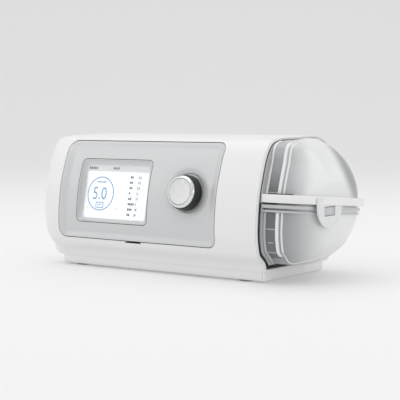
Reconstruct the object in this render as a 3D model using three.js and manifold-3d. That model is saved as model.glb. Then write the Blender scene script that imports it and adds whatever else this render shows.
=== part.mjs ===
// A bilevel positive airway pressure machine: a white casing with a grey display panel, a rotary
// knob, a blower inside, and a clear water chamber that slides out of the right end.
// Millimetres, +Z up. Pieces are drawn with X = 0 at the casing's right edge, Y = 0 at the foremost
// line of its front face and Z = 0 on the floor. The last lines centre the whole on its footprint.

import * as THREE from 'three';
import { mergeVertices } from 'three/addons/utils/BufferGeometryUtils.js';
import Module from 'manifold-3d';

const wasm = await Module();
wasm.setup();

// Driving dimensions
const gap = 0.3; // between pieces that touch
const slack = 0.8; // round pieces that slide or turn
const overrun = 2; // of a cut past the face that it opens
const weld = 1e-4; // vertices closer than this are one

const casing = {
  length: 255, depth: 126, height: 125, wall: 2.4, endRadius: 22, endTopDraw: 4, endFootDraw: 32,
  undersideZ: 9.6,
};
const belowTop = { // from the casing's top line down
  panel: 5.5, nose: 0.7, shoulder: 21, dome: 53.3, rim: 54.4, bowl: 60.6, shelf: 52.4, hinge: 10,
  backWall: 16, port: 33,
};
const beforeRear = { // from the casing's rear line forwards
  heater: 32, board: 33, boardEnd: 8, muffler: 64, mufflerEnd: 18, mufflerPost: 38, inletDuct: 42,
};
const base = {
  leftInset: 18, rightInset: 4, frontInset: 14, rearInset: 7, cornerRadius: 10,
  bottomZ: 1.6, rim: 12, post: 3,
};
const foot = { radius: 7, thickness: 3.4, inset: 22 };
const screw = {
  headRadius: 3.2, headHeight: 2, shankRadius: 1.5, length: 14, left: -190, right: -72, inset: 6.5,
  bossRadius: 4, bossHeight: 8,
};
const panel = {
  left: -225.5, right: -43.5, bottom: 28.4, top: casing.height - belowTop.panel, cornerRadius: 8,
  thickness: 2.4, lap: 2, reach: 32, cutDepth: 47, screenDrop: 0.75, knobRise: 1.05,
};
const panelMiddleZ = (panel.bottom + panel.top) / 2;
const screen = {
  centreX: -163.1, centreZ: panelMiddleZ - panel.screenDrop, lean: 11, sideMargin: 5.78, topMargin: 5.52,
  openingRadius: 5, activeWidth: 73.44, activeHeight: 48.96, border: 0.8, lip: 0.5, setback: 6.9,
  windowThickness: 1, moduleBorder: 3.5, moduleThickness: 3.4,
};
const openingWidth = screen.activeWidth + screen.sideMargin * 2;
const openingHeight = screen.activeHeight + screen.topMargin * 2;
const board = { left: -212, right: -58, height: 62, thickness: 1.6, cornerRadius: 3 };
const knob = {
  centreX: -77.2, centreZ: panelMiddleZ + panel.knobRise, gripRadius: 16.1, ringRadius: 14.4,
  discRadius: 11.4, proud: 11, ringDepth: 2.4, discDepth: 1.6, dishRadius: 23, dishFloorRadius: 18,
  dishDepth: 3, backingRadius: 25.5, backing: 2.2, travel: 1, shaftRadius: 3, bushingRadius: 4.6,
  encoderWidth: 13,
};
const chamber = {
  neckInset: 7.5, neckTopInset: 2.4, neckLength: 16, neckShoulderZ: casing.height - belowTop.shoulder,
  insideLength: 49, wall: 2, floorZ: 17, forwardShift: 1, sideInset: 8, noseStart: 8.3, noseLength: 34.8,
  noseFloorZ: 12.8, noseTopZ: casing.height - belowTop.nose, domeFootZ: casing.height - belowTop.dome,
  bowlTopZ: casing.height - belowTop.bowl, rimFrontZ: casing.height - belowTop.rim, rimTilt: 4.5,
  lidStart: 2,
};
const noseCentreY = casing.depth / 2 - chamber.forwardShift;
const noseHalfDepth = casing.depth / 2 - chamber.sideInset;
const planPower = 3.7; // of the nose seen from above
const domePower = 1.83; // of the nose's upper half seen from the side
const bowlPower = 2.04; // of its lower half
const band = { proud: 4.5, height: 7.4 };
const lip = { proud: 1.6, height: 3.2, drop: 1.2 };
const seal = { height: 1.5, edge: 0.3, width: 1.4, start: 8 };
const latch = { forwardShift: 20, width: 41, drop: 19, thickness: 2, windowWidth: 18, windowHeight: 8 };
const latchY = noseCentreY - latch.forwardShift;
const hinge = {
  x: 5.2, z: casing.height - belowTop.hinge, pinRadius: 1.5, knuckleRadius: 2.6, halfSpan: 22,
  earWidth: 5, knuckleWidth: 6,
};
const backWall = { thickness: 2.2, x: 2.6, top: casing.height - belowTop.backWall };
const port = { offset: 21, z: casing.height - belowTop.port, radius: 8.5, bore: 7, end: -6.6 };
const portSeal = { radius: 11.2, flangeRadius: 13, flange: 1.2 };
const dock = {
  length: 51.2, wall: 2.2, plateX: -7.6, plate: 2.4, shelfZ: casing.height - belowTop.shelf, shelf: 2.2,
};
const heater = {
  left: -45, right: -14, front: 30, rear: casing.depth - beforeRear.heater, filmThickness: 1.5,
  radius: 5,
};
const heatPlate = { margin: 3, thickness: 1.4 };
const duct = { radius: 9.2, bore: 7.6, bend: 14 };
const blower = {
  x: -112, y: 58, radius: 33, wall: 2, lowerHeight: 26, upperHeight: 9, seatZ: 17, inletRadius: 11,
  collar: 3, spoutRadius: 8.5, spoutBore: 6.8, spoutReach: 36, spoutZ: 31,
};
const motor = { radius: 13, height: 9, shaftRadius: 1.6, bearingRadius: 4.5, bearingHeight: 3 };
const wheel = { radius: 27, plate: 1.6, bladeHeight: 6, bladeThickness: 1.4, blades: 10, hubRadius: 6 };
const cushion = { radius: 5, waist: 3.2, offset: 26 };
const mainBoard = { left: -222, right: -152, front: 28, rear: 80, thickness: 1.6, z: 20, inset: 6 };
const rearBoard = {
  left: -160, right: -70, front: casing.depth - beforeRear.board,
  rear: casing.depth - beforeRear.boardEnd, thickness: 1.6, top: 24.2, inset: 8,
};
const inletDuct = { x: -140, rise: 24, roof: 24, radius: 9.8, bore: 8, bend: 15 };
const inletY = casing.depth - beforeRear.inletDuct;
const inletZ = blower.seatZ + blower.lowerHeight + blower.upperHeight + inletDuct.rise;
const muffler = {
  left: -222, right: -160, front: casing.depth - beforeRear.muffler,
  rear: casing.depth - beforeRear.mufflerEnd, bottom: 36, top: inletZ + inletDuct.roof, wall: 2,
  postY: casing.depth - beforeRear.mufflerPost,
};
const outlet = {
  x: -80, belowPort: 30, radius: 11, bore: 9.2, projection: 20, inside: 8, flangeRadius: 14.5, flange: 2.4,
};
const outletZ = port.z - outlet.belowPort;
const filter = { left: -220, right: -178, bottom: 40, top: 74, thickness: 8, trayWall: 2, holeRadius: 12 };
const filterDoor = { thickness: 2.4, slots: 5, slotHeight: 3, margin: 6 };
const jack = { x: -146, z: 30, radius: 5.5, bore: 3.2, pinRadius: 1, depth: 9, length: 20 };
const power = { x: -118, z: 30, radius: 5.6, travel: 1.2, proud: 1.4, inside: 6, switchDepth: 8 };
const card = { x: -88, z: 29, width: 24, height: 2.2, length: 26, proud: 2.4, setback: 5.4, readerWall: 2 };
const parts = {
  buzzerRadius: 6, buzzerHeight: 6, capacitorRadius: 5, capacitorHeight: 16, chipSize: 14, chipHeight: 2,
  sensorWidth: 18, sensorDepth: 10, sensorHeight: 8,
};

// Shares of the casing's depth and height: the leaning front face from its foot to the top edge,
// and the rear from the top edge down to its foot
const frontFaceShares = [
  [0.1103, 0.0768], [0.1087, 0.1], [0.1024, 0.124], [0.0857, 0.144], [0.0603, 0.164], [0.031, 0.192],
  [0.0167, 0.2304], [0, 0.329], [0.0071, 0.483], [0.0294, 0.631], [0.0523, 0.711], [0.077, 0.787],
  [0.1048, 0.858], [0.138, 0.914], [0.19, 0.9656], [0.267, 0.9872],
];
const rearFaceShares = [
  [0.5, 0.996], [0.8, 0.996], [0.885, 0.965], [0.937, 0.906], [0.987, 0.75], [0.998, 0.594], [0.998, 0.32],
  [0.99, 0.2], [0.975, 0.12], [0.945, 0.0768],
];

const outlineSteps = 40;
const roundSteps = 24;
const smallSteps = 12;
const ductSteps = 12;
const ductSides = 6; // in half a turn
const cornerSteps = 4;
const noseSteps = 6;
const neckRings = 3;

const { Manifold } = wasm;
const group = new THREE.Group();
const degree = Math.PI / 180;

// Solids

function closed(geometry) {
  const bare = geometry.clone();
  for (const name of Object.keys(bare.attributes)) {
    if (name !== 'position') bare.deleteAttribute(name);
  }
  const merged = mergeVertices(bare, weld);
  const corners = merged.index.array;
  const triangles = [];
  for (let i = 0; i < corners.length; i += 3) {
    const [a, b, c] = [corners[i], corners[i + 1], corners[i + 2]];
    if (a !== b && b !== c && c !== a) triangles.push(a, b, c);
  }
  const mesh = new wasm.Mesh({
    numProp: 3,
    vertProperties: Float32Array.from(merged.attributes.position.array),
    triVerts: Uint32Array.from(triangles),
  });
  return new Manifold(mesh);
}

function join(first, ...others) {
  return others.reduce((sum, next) => sum.add(next), first);
}

function cut(first, ...others) {
  return others.reduce((left, next) => left.subtract(next), first);
}

function geometryOf(solid) {
  const { vertProperties, triVerts, numProp } = solid.getMesh();
  const positions = [];
  for (const corner of triVerts) {
    const at = corner * numProp;
    positions.push(vertProperties[at], vertProperties[at + 1], vertProperties[at + 2]);
  }
  const geometry = new THREE.BufferGeometry();
  geometry.setAttribute('position', new THREE.Float32BufferAttribute(positions, 3));
  geometry.computeVertexNormals();
  return geometry;
}

function add(name, solid, material) {
  const mesh = new THREE.Mesh(geometryOf(solid), material);
  mesh.name = name;
  group.add(mesh);
  return mesh;
}

function block(x0, x1, y0, y1, z0, z1) {
  const box = new THREE.BoxGeometry(x1 - x0, y1 - y0, z1 - z0);
  return box.translate((x0 + x1) / 2, (y0 + y1) / 2, (z0 + z1) / 2);
}

function box(x0, x1, y0, y1, z0, z1) {
  return closed(block(x0, x1, y0, y1, z0, z1));
}

function roundedOutline(width, height, radius) {
  const [x, y] = [width / 2, height / 2];
  const shape = new THREE.Shape();
  shape.moveTo(-x + radius, -y);
  shape.lineTo(x - radius, -y);
  shape.absarc(x - radius, -y + radius, radius, -Math.PI / 2, 0);
  shape.lineTo(x, y - radius);
  shape.absarc(x - radius, y - radius, radius, 0, Math.PI / 2);
  shape.lineTo(-x + radius, y);
  shape.absarc(-x + radius, y - radius, radius, Math.PI / 2, Math.PI);
  shape.lineTo(-x, -y + radius);
  shape.absarc(-x + radius, -y + radius, radius, Math.PI, Math.PI * 1.5);
  return shape;
}

function slab(x0, x1, y0, y1, z0, z1, radius) {
  const shape = roundedOutline(x1 - x0, y1 - y0, radius);
  const options = { depth: z1 - z0, bevelEnabled: false, curveSegments: cornerSteps };
  const body = new THREE.ExtrudeGeometry(shape, options);
  return closed(body.translate((x0 + x1) / 2, (y0 + y1) / 2, z0));
}

// A round bar along an axis, between two places on it
function rod(axis, radius, from, to, first, second, steps = roundSteps) {
  const bar = new THREE.CylinderGeometry(radius, radius, to - from, steps);
  const middle = (from + to) / 2;
  if (axis === 'x') bar.rotateZ(-Math.PI / 2).translate(middle, first, second);
  if (axis === 'y') bar.translate(first, middle, second);
  if (axis === 'z') bar.rotateX(Math.PI / 2).translate(first, second, middle);
  return closed(bar);
}

// A closed skin over rings of equal count, the first and last of them filled in
function loft(rings) {
  const count = rings[0].length;
  const positions = rings.flat().flatMap((point) => [point.x, point.y, point.z]);
  const index = [];
  for (let ring = 0; ring < rings.length - 1; ring += 1) {
    for (let i = 0; i < count; i += 1) {
      const [a, b] = [ring * count + i, ring * count + ((i + 1) % count)];
      index.push(a, b, a + count, b, b + count, a + count);
    }
  }
  for (const [ring, turned] of [[0, true], [rings.length - 1, false]]) {
    const middle = positions.length / 3;
    const centre = rings[ring].reduce((sum, point) => sum.add(point), new THREE.Vector3());
    centre.divideScalar(count);
    positions.push(centre.x, centre.y, centre.z);
    for (let i = 0; i < count; i += 1) {
      const [a, b] = [ring * count + i, ring * count + ((i + 1) % count)];
      index.push(middle, turned ? b : a, turned ? a : b);
    }
  }
  const skin = new THREE.BufferGeometry();
  skin.setAttribute('position', new THREE.Float32BufferAttribute(positions, 3));
  skin.setIndex(index);
  const solid = closed(skin);
  if (solid.volume() > 0) return solid;
  skin.setIndex(index.reverse());
  return closed(skin);
}

// The casing's outline seen along X, moved inwards by an inset

function casingOutline(inset) {
  const points = [...frontFaceShares, ...rearFaceShares].map(
    ([y, z]) => new THREE.Vector3(0, y * casing.depth, z * casing.height),
  );
  const curve = new THREE.CatmullRomCurve3(points, false, 'centripetal');
  return Array.from({ length: outlineSteps }, (_, i) => {
    const at = i / (outlineSteps - 1);
    const point = curve.getPointAt(at);
    const along = curve.getTangentAt(at);
    const depth = typeof inset === 'function' ? inset(point.z) : inset;
    const z = Math.max(point.z - along.y * depth, casing.undersideZ + depth);
    return new THREE.Vector2(point.y + along.z * depth, z);
  });
}

function frontY(z, inset) {
  const outline = casingOutline(inset);
  for (let i = 0; i < outline.length - 1; i += 1) {
    const [a, b] = [outline[i], outline[i + 1]];
    if (a.y <= z && b.y >= z) return a.x + ((b.x - a.x) * (z - a.y)) / (b.y - a.y);
  }
  return outline[0].x;
}

const middleY = casing.depth / 2;

// One ring of the casing. Drawn 0 is its full outline, and drawn 1 is the outline of its rounded
// left end, drawn in at the sides, the top and most at the foot.
function casingRing(x, inset, drawn) {
  const yScale = 1 - (drawn * (casing.endRadius - inset)) / middleY;
  const low = casing.undersideZ + drawn * casing.endFootDraw;
  const high = casing.height - drawn * casing.endTopDraw;
  return casingOutline(inset).map(({ x: y, y: z }) => new THREE.Vector3(
    x,
    middleY + (y - middleY) * yScale,
    THREE.MathUtils.mapLinear(z, casing.undersideZ, casing.height, low, high),
  ));
}

// The casing's form at an inset, from its rounded left end to a place along X
function casingForm(inset, to) {
  const radius = casing.endRadius - inset;
  const rings = [];
  for (let i = 0; i <= noseSteps; i += 1) {
    const turn = (i / noseSteps) * (Math.PI / 2);
    const x = -casing.length + inset + radius * (1 - Math.sin(turn));
    rings.unshift(casingRing(x, inset, 1 - Math.cos(turn)));
  }
  rings.push(casingRing(to, inset, 0));
  rings.sort((a, b) => a[0].x - b[0].x);
  return loft(rings);
}

function casingSlice(inset, from, to) {
  return loft([casingRing(from, inset, 0), casingRing(to, inset, 0)]);
}

// The water chamber's outside: a straight neck, then a rounded nose

const neckCentre = { y: noseCentreY, z: (chamber.domeFootZ + chamber.bowlTopZ) / 2 };

// The neck keeps further from the casing at the front and rear than at the top
function neckInsetAt(z) {
  const part = THREE.MathUtils.smoothstep(z, chamber.neckShoulderZ, chamber.noseTopZ);
  return THREE.MathUtils.lerp(chamber.neckInset, chamber.neckTopInset, part);
}

function neckRadius(angle, inset) {
  const outline = casingOutline((z) => neckInsetAt(z) + inset).map(
    ({ x, y }) => new THREE.Vector2(x, Math.max(y, chamber.floorZ + inset)),
  );
  const [dy, dz] = [Math.cos(angle), Math.sin(angle)];
  let reach = 0;
  for (let i = 0; i < outline.length; i += 1) {
    const [a, b] = [outline[i], outline[(i + 1) % outline.length]];
    const [ay, az] = [a.x - neckCentre.y, a.y - neckCentre.z];
    const [ey, ez] = [b.x - a.x, b.y - a.y];
    const cross = dy * ez - dz * ey;
    if (Math.abs(cross) < weld) continue;
    const along = (ay * ez - az * ey) / cross;
    const part = (ay * dz - az * dy) / cross;
    if (part >= -weld && part <= 1 + weld && along > reach) reach = along;
  }
  return reach;
}

function insideNose(x, y, z, inset) {
  const halfDepth = noseHalfDepth - inset;
  const length = chamber.noseLength - inset;
  const above = z > chamber.domeFootZ;
  const height = above
    ? (z - chamber.domeFootZ) / (chamber.noseTopZ - inset - chamber.domeFootZ)
    : (chamber.bowlTopZ - z) / (chamber.bowlTopZ - chamber.noseFloorZ - inset);
  const power = above ? domePower : bowlPower;
  if (height >= 1) return false;
  const size = (1 - Math.max(height, 0) ** power) ** (1 / power);
  const along = Math.max(x - chamber.noseStart, 0) / length;
  const across = Math.abs(y - noseCentreY) / halfDepth;
  return (along ** planPower + across ** planPower) ** (1 / planPower) < size;
}

function noseRadius(x, angle, inset) {
  let [inner, outer] = [0, casing.depth];
  for (let i = 0; i < outlineSteps; i += 1) {
    const middle = (inner + outer) / 2;
    const y = neckCentre.y + middle * Math.cos(angle);
    const z = neckCentre.z + middle * Math.sin(angle);
    if (insideNose(x, y, z, inset)) inner = middle;
    else outer = middle;
  }
  return inner;
}

function chamberRing(x, radiusAt) {
  return Array.from({ length: outlineSteps }, (_, i) => {
    const angle = (i / outlineSteps) * Math.PI * 2;
    const radius = radiusAt(angle);
    return new THREE.Vector3(
      x, neckCentre.y + radius * Math.cos(angle), neckCentre.z + radius * Math.sin(angle),
    );
  });
}

const tipShare = 0.985; // of the nose's length, where its last ring lies

// The neck is squarer than the nose, and turns into it along its length
function chamberForm(inset, from) {
  const neck = (angle) => neckRadius(angle, inset);
  const rings = [chamberRing(from, neck)];
  for (let i = from < 0 ? 0 : 1; i <= neckRings; i += 1) {
    const share = i / neckRings;
    const x = THREE.MathUtils.lerp(chamber.lidStart, chamber.neckLength, share);
    const blend = THREE.MathUtils.smoothstep(share, 0, 1);
    rings.push(chamberRing(x, (angle) => (
      THREE.MathUtils.lerp(neck(angle), noseRadius(x, angle, inset), blend)
    )));
  }
  const length = chamber.noseLength - inset;
  const first = Math.asin((chamber.neckLength - chamber.noseStart) / length);
  const last = Math.asin(tipShare);
  for (let i = 1; i <= noseSteps; i += 1) {
    const turn = first + ((last - first) * i) / noseSteps;
    const x = chamber.noseStart + length * Math.sin(turn);
    rings.push(chamberRing(x, (angle) => noseRadius(x, angle, inset)));
  }
  return loft(rings);
}

// The rim where lid and bowl part leans down towards the back. A prism drawn flat at the rim's
// height is turned with it about the rim's front line.
const rimTurn = new THREE.Matrix4().makeTranslation(0, 0, chamber.rimFrontZ)
  .multiply(new THREE.Matrix4().makeRotationX(-chamber.rimTilt * degree));

function onRim(geometry) {
  return closed(geometry.applyMatrix4(rimTurn));
}

const farSide = casing.length * 2;

function aboveRim(lift) {
  return onRim(block(-farSide, farSide, -farSide, farSide, lift, farSide));
}

function belowRim(lift) {
  return onRim(block(-farSide, farSide, -farSide, farSide, -farSide, lift));
}

// The nose's outline seen from above, grown by an offset, as a closed shape from its flat left side
function nosePlan(start, offset) {
  const halfDepth = noseHalfDepth + offset;
  const length = chamber.noseLength + offset;
  const shape = new THREE.Shape();
  shape.moveTo(start, noseCentreY - halfDepth);
  for (let i = 0; i <= outlineSteps; i += 1) {
    const turn = -Math.PI / 2 + (i / outlineSteps) * Math.PI;
    const along = Math.cos(turn) ** (2 / planPower);
    const across = Math.sign(Math.sin(turn)) * Math.abs(Math.sin(turn)) ** (2 / planPower);
    shape.lineTo(
      chamber.noseStart + length * (along > weld ? along : 0),
      noseCentreY + halfDepth * across,
    );
  }
  shape.lineTo(start, noseCentreY + halfDepth);
  return shape;
}

function rimRing(start, outer, inner, low, high) {
  const options = { depth: high - low, bevelEnabled: false };
  const outside = new THREE.ExtrudeGeometry(nosePlan(start, outer), options).translate(0, 0, low);
  const deeper = { depth: high - low + overrun * 2, bevelEnabled: false };
  const inside = new THREE.ExtrudeGeometry(nosePlan(start - overrun, inner), deeper);
  return cut(onRim(outside), onRim(inside.translate(0, 0, low - overrun)));
}

// Places on the leaning display face. Local x runs to the right, z up along the face, and y into
// the machine from the grey panel's surface.
const panelInset = casing.wall + gap;

function onFace(geometry, x, z) {
  const lean = screen.lean * degree;
  const along = (z - screen.centreZ) / Math.cos(lean);
  const turned = geometry.clone().translate(0, 0, along).rotateX(-lean);
  return closed(turned.translate(x, frontY(screen.centreZ, panelInset), screen.centreZ));
}

function faceRod(radius, from, to, x, z, steps = roundSteps) {
  const bar = new THREE.CylinderGeometry(radius, radius, to - from, steps);
  return onFace(bar.translate(0, (from + to) / 2, 0), x, z);
}

function faceBlock(width, height, from, to, x, z, radius) {
  const shape = roundedOutline(width, height, radius);
  const options = { depth: to - from, bevelEnabled: false, curveSegments: cornerSteps };
  const plate = new THREE.ExtrudeGeometry(shape, options).rotateX(Math.PI / 2);
  return onFace(plate.translate(0, to, 0), x, z);
}

// Materials
const finish = (color, roughness, metalness = 0) => new THREE.MeshStandardMaterial({
  color, roughness, metalness,
});
const clear = (color, opacity) => new THREE.MeshStandardMaterial({
  color, roughness: 0.2, transparent: true, opacity,
});
const white = finish('#eef0f1', 0.3);
const silver = finish('#c6cacd', 0.4);
const grey = finish('#b4b8bb', 0.45);
const black = finish('#202224', 0.5);
const rubber = finish('#2b2b2d', 0.85);
const silicone = finish('#d9d6cf', 0.7);
const steel = finish('#b8bcc0', 0.3, 1);
const chrome = finish('#dfe3e6', 0.12, 1);
const brushed = finish('#c3c6c9', 0.35, 1);
const aluminium = finish('#c9ccce', 0.4, 1);
const laminate = finish('#1f6b45', 0.6);
const amber = finish('#b0642a', 0.5);
const foam = finish('#4c4f53', 0.95);

// Base tray, feet and screws

const tray = {
  left: -casing.length + base.leftInset,
  right: -base.rightInset,
  front: base.frontInset,
  rear: casing.depth - base.rearInset,
  top: casing.undersideZ - gap,
  floor: casing.undersideZ + casing.wall,
};
const well = {
  left: tray.left + base.rim, right: tray.right - base.rim,
  front: tray.front + base.rim, rear: tray.rear - base.rim,
};
const trayPost = (x, y, top) => rod('z', base.post, tray.top - gap, top - gap, x, y, smallSteps);
const footPlaces = [tray.left + foot.inset, tray.right - foot.inset].flatMap(
  (x) => [tray.front + foot.inset / 2, tray.rear - foot.inset / 2].map((y) => [x, y]),
);
const screwPlaces = [screw.left, screw.right].flatMap(
  (x) => [tray.front + screw.inset, tray.rear - screw.inset].map((y) => [x, y]),
);
const boardPosts = [mainBoard.left + mainBoard.inset, mainBoard.right - mainBoard.inset].flatMap(
  (x) => [mainBoard.front + mainBoard.inset, mainBoard.rear - mainBoard.inset].map(
    (y) => [x, y, mainBoard.z],
  ),
);
const rearPosts = [rearBoard.left + rearBoard.inset, rearBoard.right - rearBoard.inset].map(
  (x) => [x, rearBoard.front + base.post, rearBoard.top - rearBoard.thickness],
);
const mufflerPosts = [muffler.left + rearBoard.inset, muffler.right - rearBoard.inset].map(
  (x) => [x, muffler.postY, muffler.bottom],
);
const cushionPlaces = [0, 1, 2].map((i) => {
  const turn = (i / 3) * Math.PI * 2;
  return [blower.x + cushion.offset * Math.cos(turn), blower.y + cushion.offset * Math.sin(turn)];
});

let baseTray = join(
  slab(tray.left, tray.right, tray.front, tray.rear, base.bottomZ, tray.top, base.cornerRadius),
  slab(
    well.left + gap, well.right - gap, well.front + gap, well.rear - gap,
    tray.top - gap, tray.floor, base.cornerRadius,
  ),
);
for (const [x, y, top] of [...boardPosts, ...rearPosts, ...mufflerPosts]) {
  baseTray = join(baseTray, trayPost(x, y, top));
}
for (const [x, y] of footPlaces) {
  baseTray = cut(baseTray, rod('z', foot.radius + gap, -overrun, foot.thickness + gap, x, y));
}
for (const [x, y] of screwPlaces) {
  baseTray = cut(
    baseTray,
    rod('z', screw.headRadius + gap, -overrun, base.bottomZ + screw.headHeight + gap * 2, x, y),
    rod('z', screw.shankRadius + gap, 0, tray.floor + overrun, x, y, smallSteps),
  );
}
add('base_tray', baseTray, white);
footPlaces.forEach(([x, y], i) => {
  add(`foot_${i + 1}`, rod('z', foot.radius, 0, foot.thickness, x, y), rubber);
});
screwPlaces.forEach(([x, y], i) => {
  const headTop = base.bottomZ + screw.headHeight + gap;
  const head = rod('z', screw.headRadius, base.bottomZ + gap, headTop, x, y);
  const shank = rod('z', screw.shankRadius, headTop - gap, base.bottomZ + screw.length, x, y, smallSteps);
  const slot = box(
    x - screw.headRadius * 2, x + screw.headRadius * 2, y - gap, y + gap,
    base.bottomZ, base.bottomZ + screw.headHeight / 2,
  );
  add(`base_screw_${i + 1}`, cut(join(head, shank), slot), steel);
});

// The casing: one white moulding, open at its right end and over the tray's well

const panelWidth = panel.right - panel.left;
const panelHeight = panel.top - panel.bottom;

function panelPrism(grow, from, to) {
  const shape = roundedOutline(
    panelWidth + grow * 2, panelHeight + grow * 2, panel.cornerRadius + grow,
  );
  const options = { depth: to - from, bevelEnabled: false, curveSegments: cornerSteps };
  const prism = new THREE.ExtrudeGeometry(shape, options).rotateX(Math.PI / 2);
  return closed(prism.translate((panel.left + panel.right) / 2, to, (panel.bottom + panel.top) / 2));
}

const rearHole = (radius, x, z) => rod('y', radius, casing.depth / 2, casing.depth + overrun, x, z);
const cardSlot = box(
  card.x - card.width / 2 - gap, card.x + card.width / 2 + gap, casing.depth / 2, casing.depth + overrun,
  card.z - card.height / 2 - gap, card.z + card.height / 2 + gap,
);
const screwBoss = ([x, y]) => cut(
  rod('z', screw.bossRadius, tray.floor - gap, tray.floor + screw.bossHeight, x, y, smallSteps),
  rod('z', screw.shankRadius + gap, 0, base.bottomZ + screw.length + gap * 2, x, y, smallSteps),
);
const casingShell = cut(
  casingForm(0, 0),
  casingForm(casing.wall, overrun),
  slab(
    well.left, well.right, well.front, well.rear,
    casing.undersideZ - overrun, tray.floor + overrun, base.cornerRadius,
  ),
  panelPrism(0, -overrun, panel.cutDepth),
  box(
    filter.left, filter.right, casing.depth - panel.reach / 2, casing.depth + overrun,
    filter.bottom, filter.top,
  ),
  rearHole(outlet.radius + gap, outlet.x, outletZ),
  rearHole(jack.radius + gap, jack.x, jack.z),
  rearHole(power.radius + gap, power.x, power.z),
  cardSlot,
  ...screwPlaces.map(
    ([x, y]) => rod('z', screw.shankRadius + gap, 0, tray.floor + overrun, x, y, smallSteps),
  ),
);
add('main_housing', join(casingShell, ...screwPlaces.map(screwBoss)), white);

// The grey panel lies a wall's thickness behind the casing's face. Behind the knob it is thicker,
// where its face is dished.

const panelSkin = (inset) => casingSlice(inset, panel.left - panel.lap, panel.right + panel.lap);
const moduleSize = {
  width: screen.activeWidth + screen.moduleBorder * 2,
  height: screen.activeHeight + screen.moduleBorder * 2,
};
const screenBack = screen.setback + screen.moduleThickness;
const panelBody = cut(
  panelSkin(panelInset),
  casingSlice(panelInset + panel.thickness, panel.left - panel.reach, panel.right + panel.reach),
).intersect(panelPrism(panel.lap, -overrun, panel.reach));
const backing = faceRod(
  knob.backingRadius, -panel.reach, knob.dishDepth + knob.backing, knob.centreX, knob.centreZ,
).intersect(panelSkin(panelInset));
const dishSlope = (knob.dishRadius - knob.dishFloorRadius) / knob.dishDepth;
const dish = onFace(
  new THREE.CylinderGeometry(
    knob.dishFloorRadius, knob.dishRadius + dishSlope * overrun, knob.dishDepth + overrun, roundSteps * 2,
  ).translate(0, (knob.dishDepth - overrun) / 2, 0),
  knob.centreX, knob.centreZ,
);
const frontPanel = cut(
  join(panelBody, backing),
  dish,
  faceRod(knob.bushingRadius + gap, 0, panel.reach, knob.centreX, knob.centreZ),
  faceBlock(
    openingWidth, openingHeight, -panel.reach, panel.reach,
    screen.centreX, screen.centreZ, screen.openingRadius,
  ),
);
add('front_panel', frontPanel, silver);

// The screen: a sloping frame, a clear window, the display module and their board

function faceFunnel(from, to, wide, narrow) {
  const ring = ({ width, height, radius }, y) => roundedOutline(width, height, radius)
    .getPoints(cornerSteps).slice(0, -1).map((point) => new THREE.Vector3(point.x, y, point.y));
  const solid = loft([ring(wide, from), ring(narrow, to)]);
  return onFace(geometryOf(solid), screen.centreX, screen.centreZ);
}
const openingFront = {
  width: openingWidth - gap * 2 - screen.lip * 2,
  height: openingHeight - gap * 2 - screen.lip * 2,
  radius: screen.openingRadius,
};
const openingBack = {
  width: screen.activeWidth + screen.border * 2,
  height: screen.activeHeight + screen.border * 2,
  radius: screen.border * 2,
};
const windowFront = screen.setback - gap - screen.windowThickness;
const bezel = cut(
  faceBlock(
    openingWidth - gap * 2, openingHeight - gap * 2, -panel.reach, screenBack,
    screen.centreX, screen.centreZ, screen.openingRadius,
  ).intersect(panelSkin(panelInset)),
  faceFunnel(-panel.reach, 0, openingFront, openingFront),
  faceFunnel(-weld, windowFront - gap + weld, openingFront, openingBack),
  faceFunnel(0, panel.reach, openingBack, openingBack),
  faceBlock(
    moduleSize.width + gap * 2, moduleSize.height + gap * 2, windowFront - gap, panel.reach,
    screen.centreX, screen.centreZ, screen.border,
  ),
);
add('screen_bezel', bezel, silver);
add('display_window', faceBlock(
  moduleSize.width, moduleSize.height, windowFront, windowFront + screen.windowThickness,
  screen.centreX, screen.centreZ, screen.border,
), clear('#dfe9f0', 0.35));
add('lcd_module', faceBlock(
  moduleSize.width, moduleSize.height, screen.setback, screenBack,
  screen.centreX, screen.centreZ, screen.border,
), finish('#e9eef2', 0.25));
const boardFront = screenBack + gap;
add('display_board', faceBlock(
  board.right - board.left, board.height, boardFront, boardFront + board.thickness,
  (board.left + board.right) / 2, screen.centreZ, board.cornerRadius,
), laminate);

// The knob turns and presses: an encoder on the display board, its shaft, and the grip with its
// bright ring and disc

const encoderFront = knob.dishDepth + knob.backing + gap;
const shaftEnd = boardFront - gap * 3 - knob.travel;
const knobRod = (radius, from, to) => faceRod(radius, from, to, knob.centreX, knob.centreZ);
const encoder = cut(
  join(
    faceBlock(
      knob.encoderWidth, knob.encoderWidth, encoderFront, boardFront - gap,
      knob.centreX, knob.centreZ, knob.travel,
    ),
    knobRod(knob.bushingRadius, knob.dishDepth + gap, encoderFront + gap),
  ),
  knobRod(knob.shaftRadius + gap, 0, shaftEnd + knob.travel + gap),
);
add('encoder_body', encoder, aluminium);
const gripFront = -knob.proud + knob.ringDepth;
const gripBack = knob.dishDepth - knob.travel - slack;
const shaftFront = gripFront + knob.ringDepth;
add('encoder_shaft', knobRod(knob.shaftRadius, shaftFront, shaftEnd), steel);
add('knob_grip', cut(
  knobRod(knob.gripRadius, gripFront, gripBack),
  knobRod(knob.shaftRadius + gap, shaftFront - gap, panel.reach),
), black);
add('knob_ring', cut(
  knobRod(knob.ringRadius, -knob.proud, gripFront - gap),
  knobRod(knob.discRadius + gap, -panel.reach, 0),
), chrome);
add('knob_disc', knobRod(knob.discRadius, -knob.proud + screen.lip, gripFront - gap), brushed);

// The boards on the tray's posts

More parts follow.
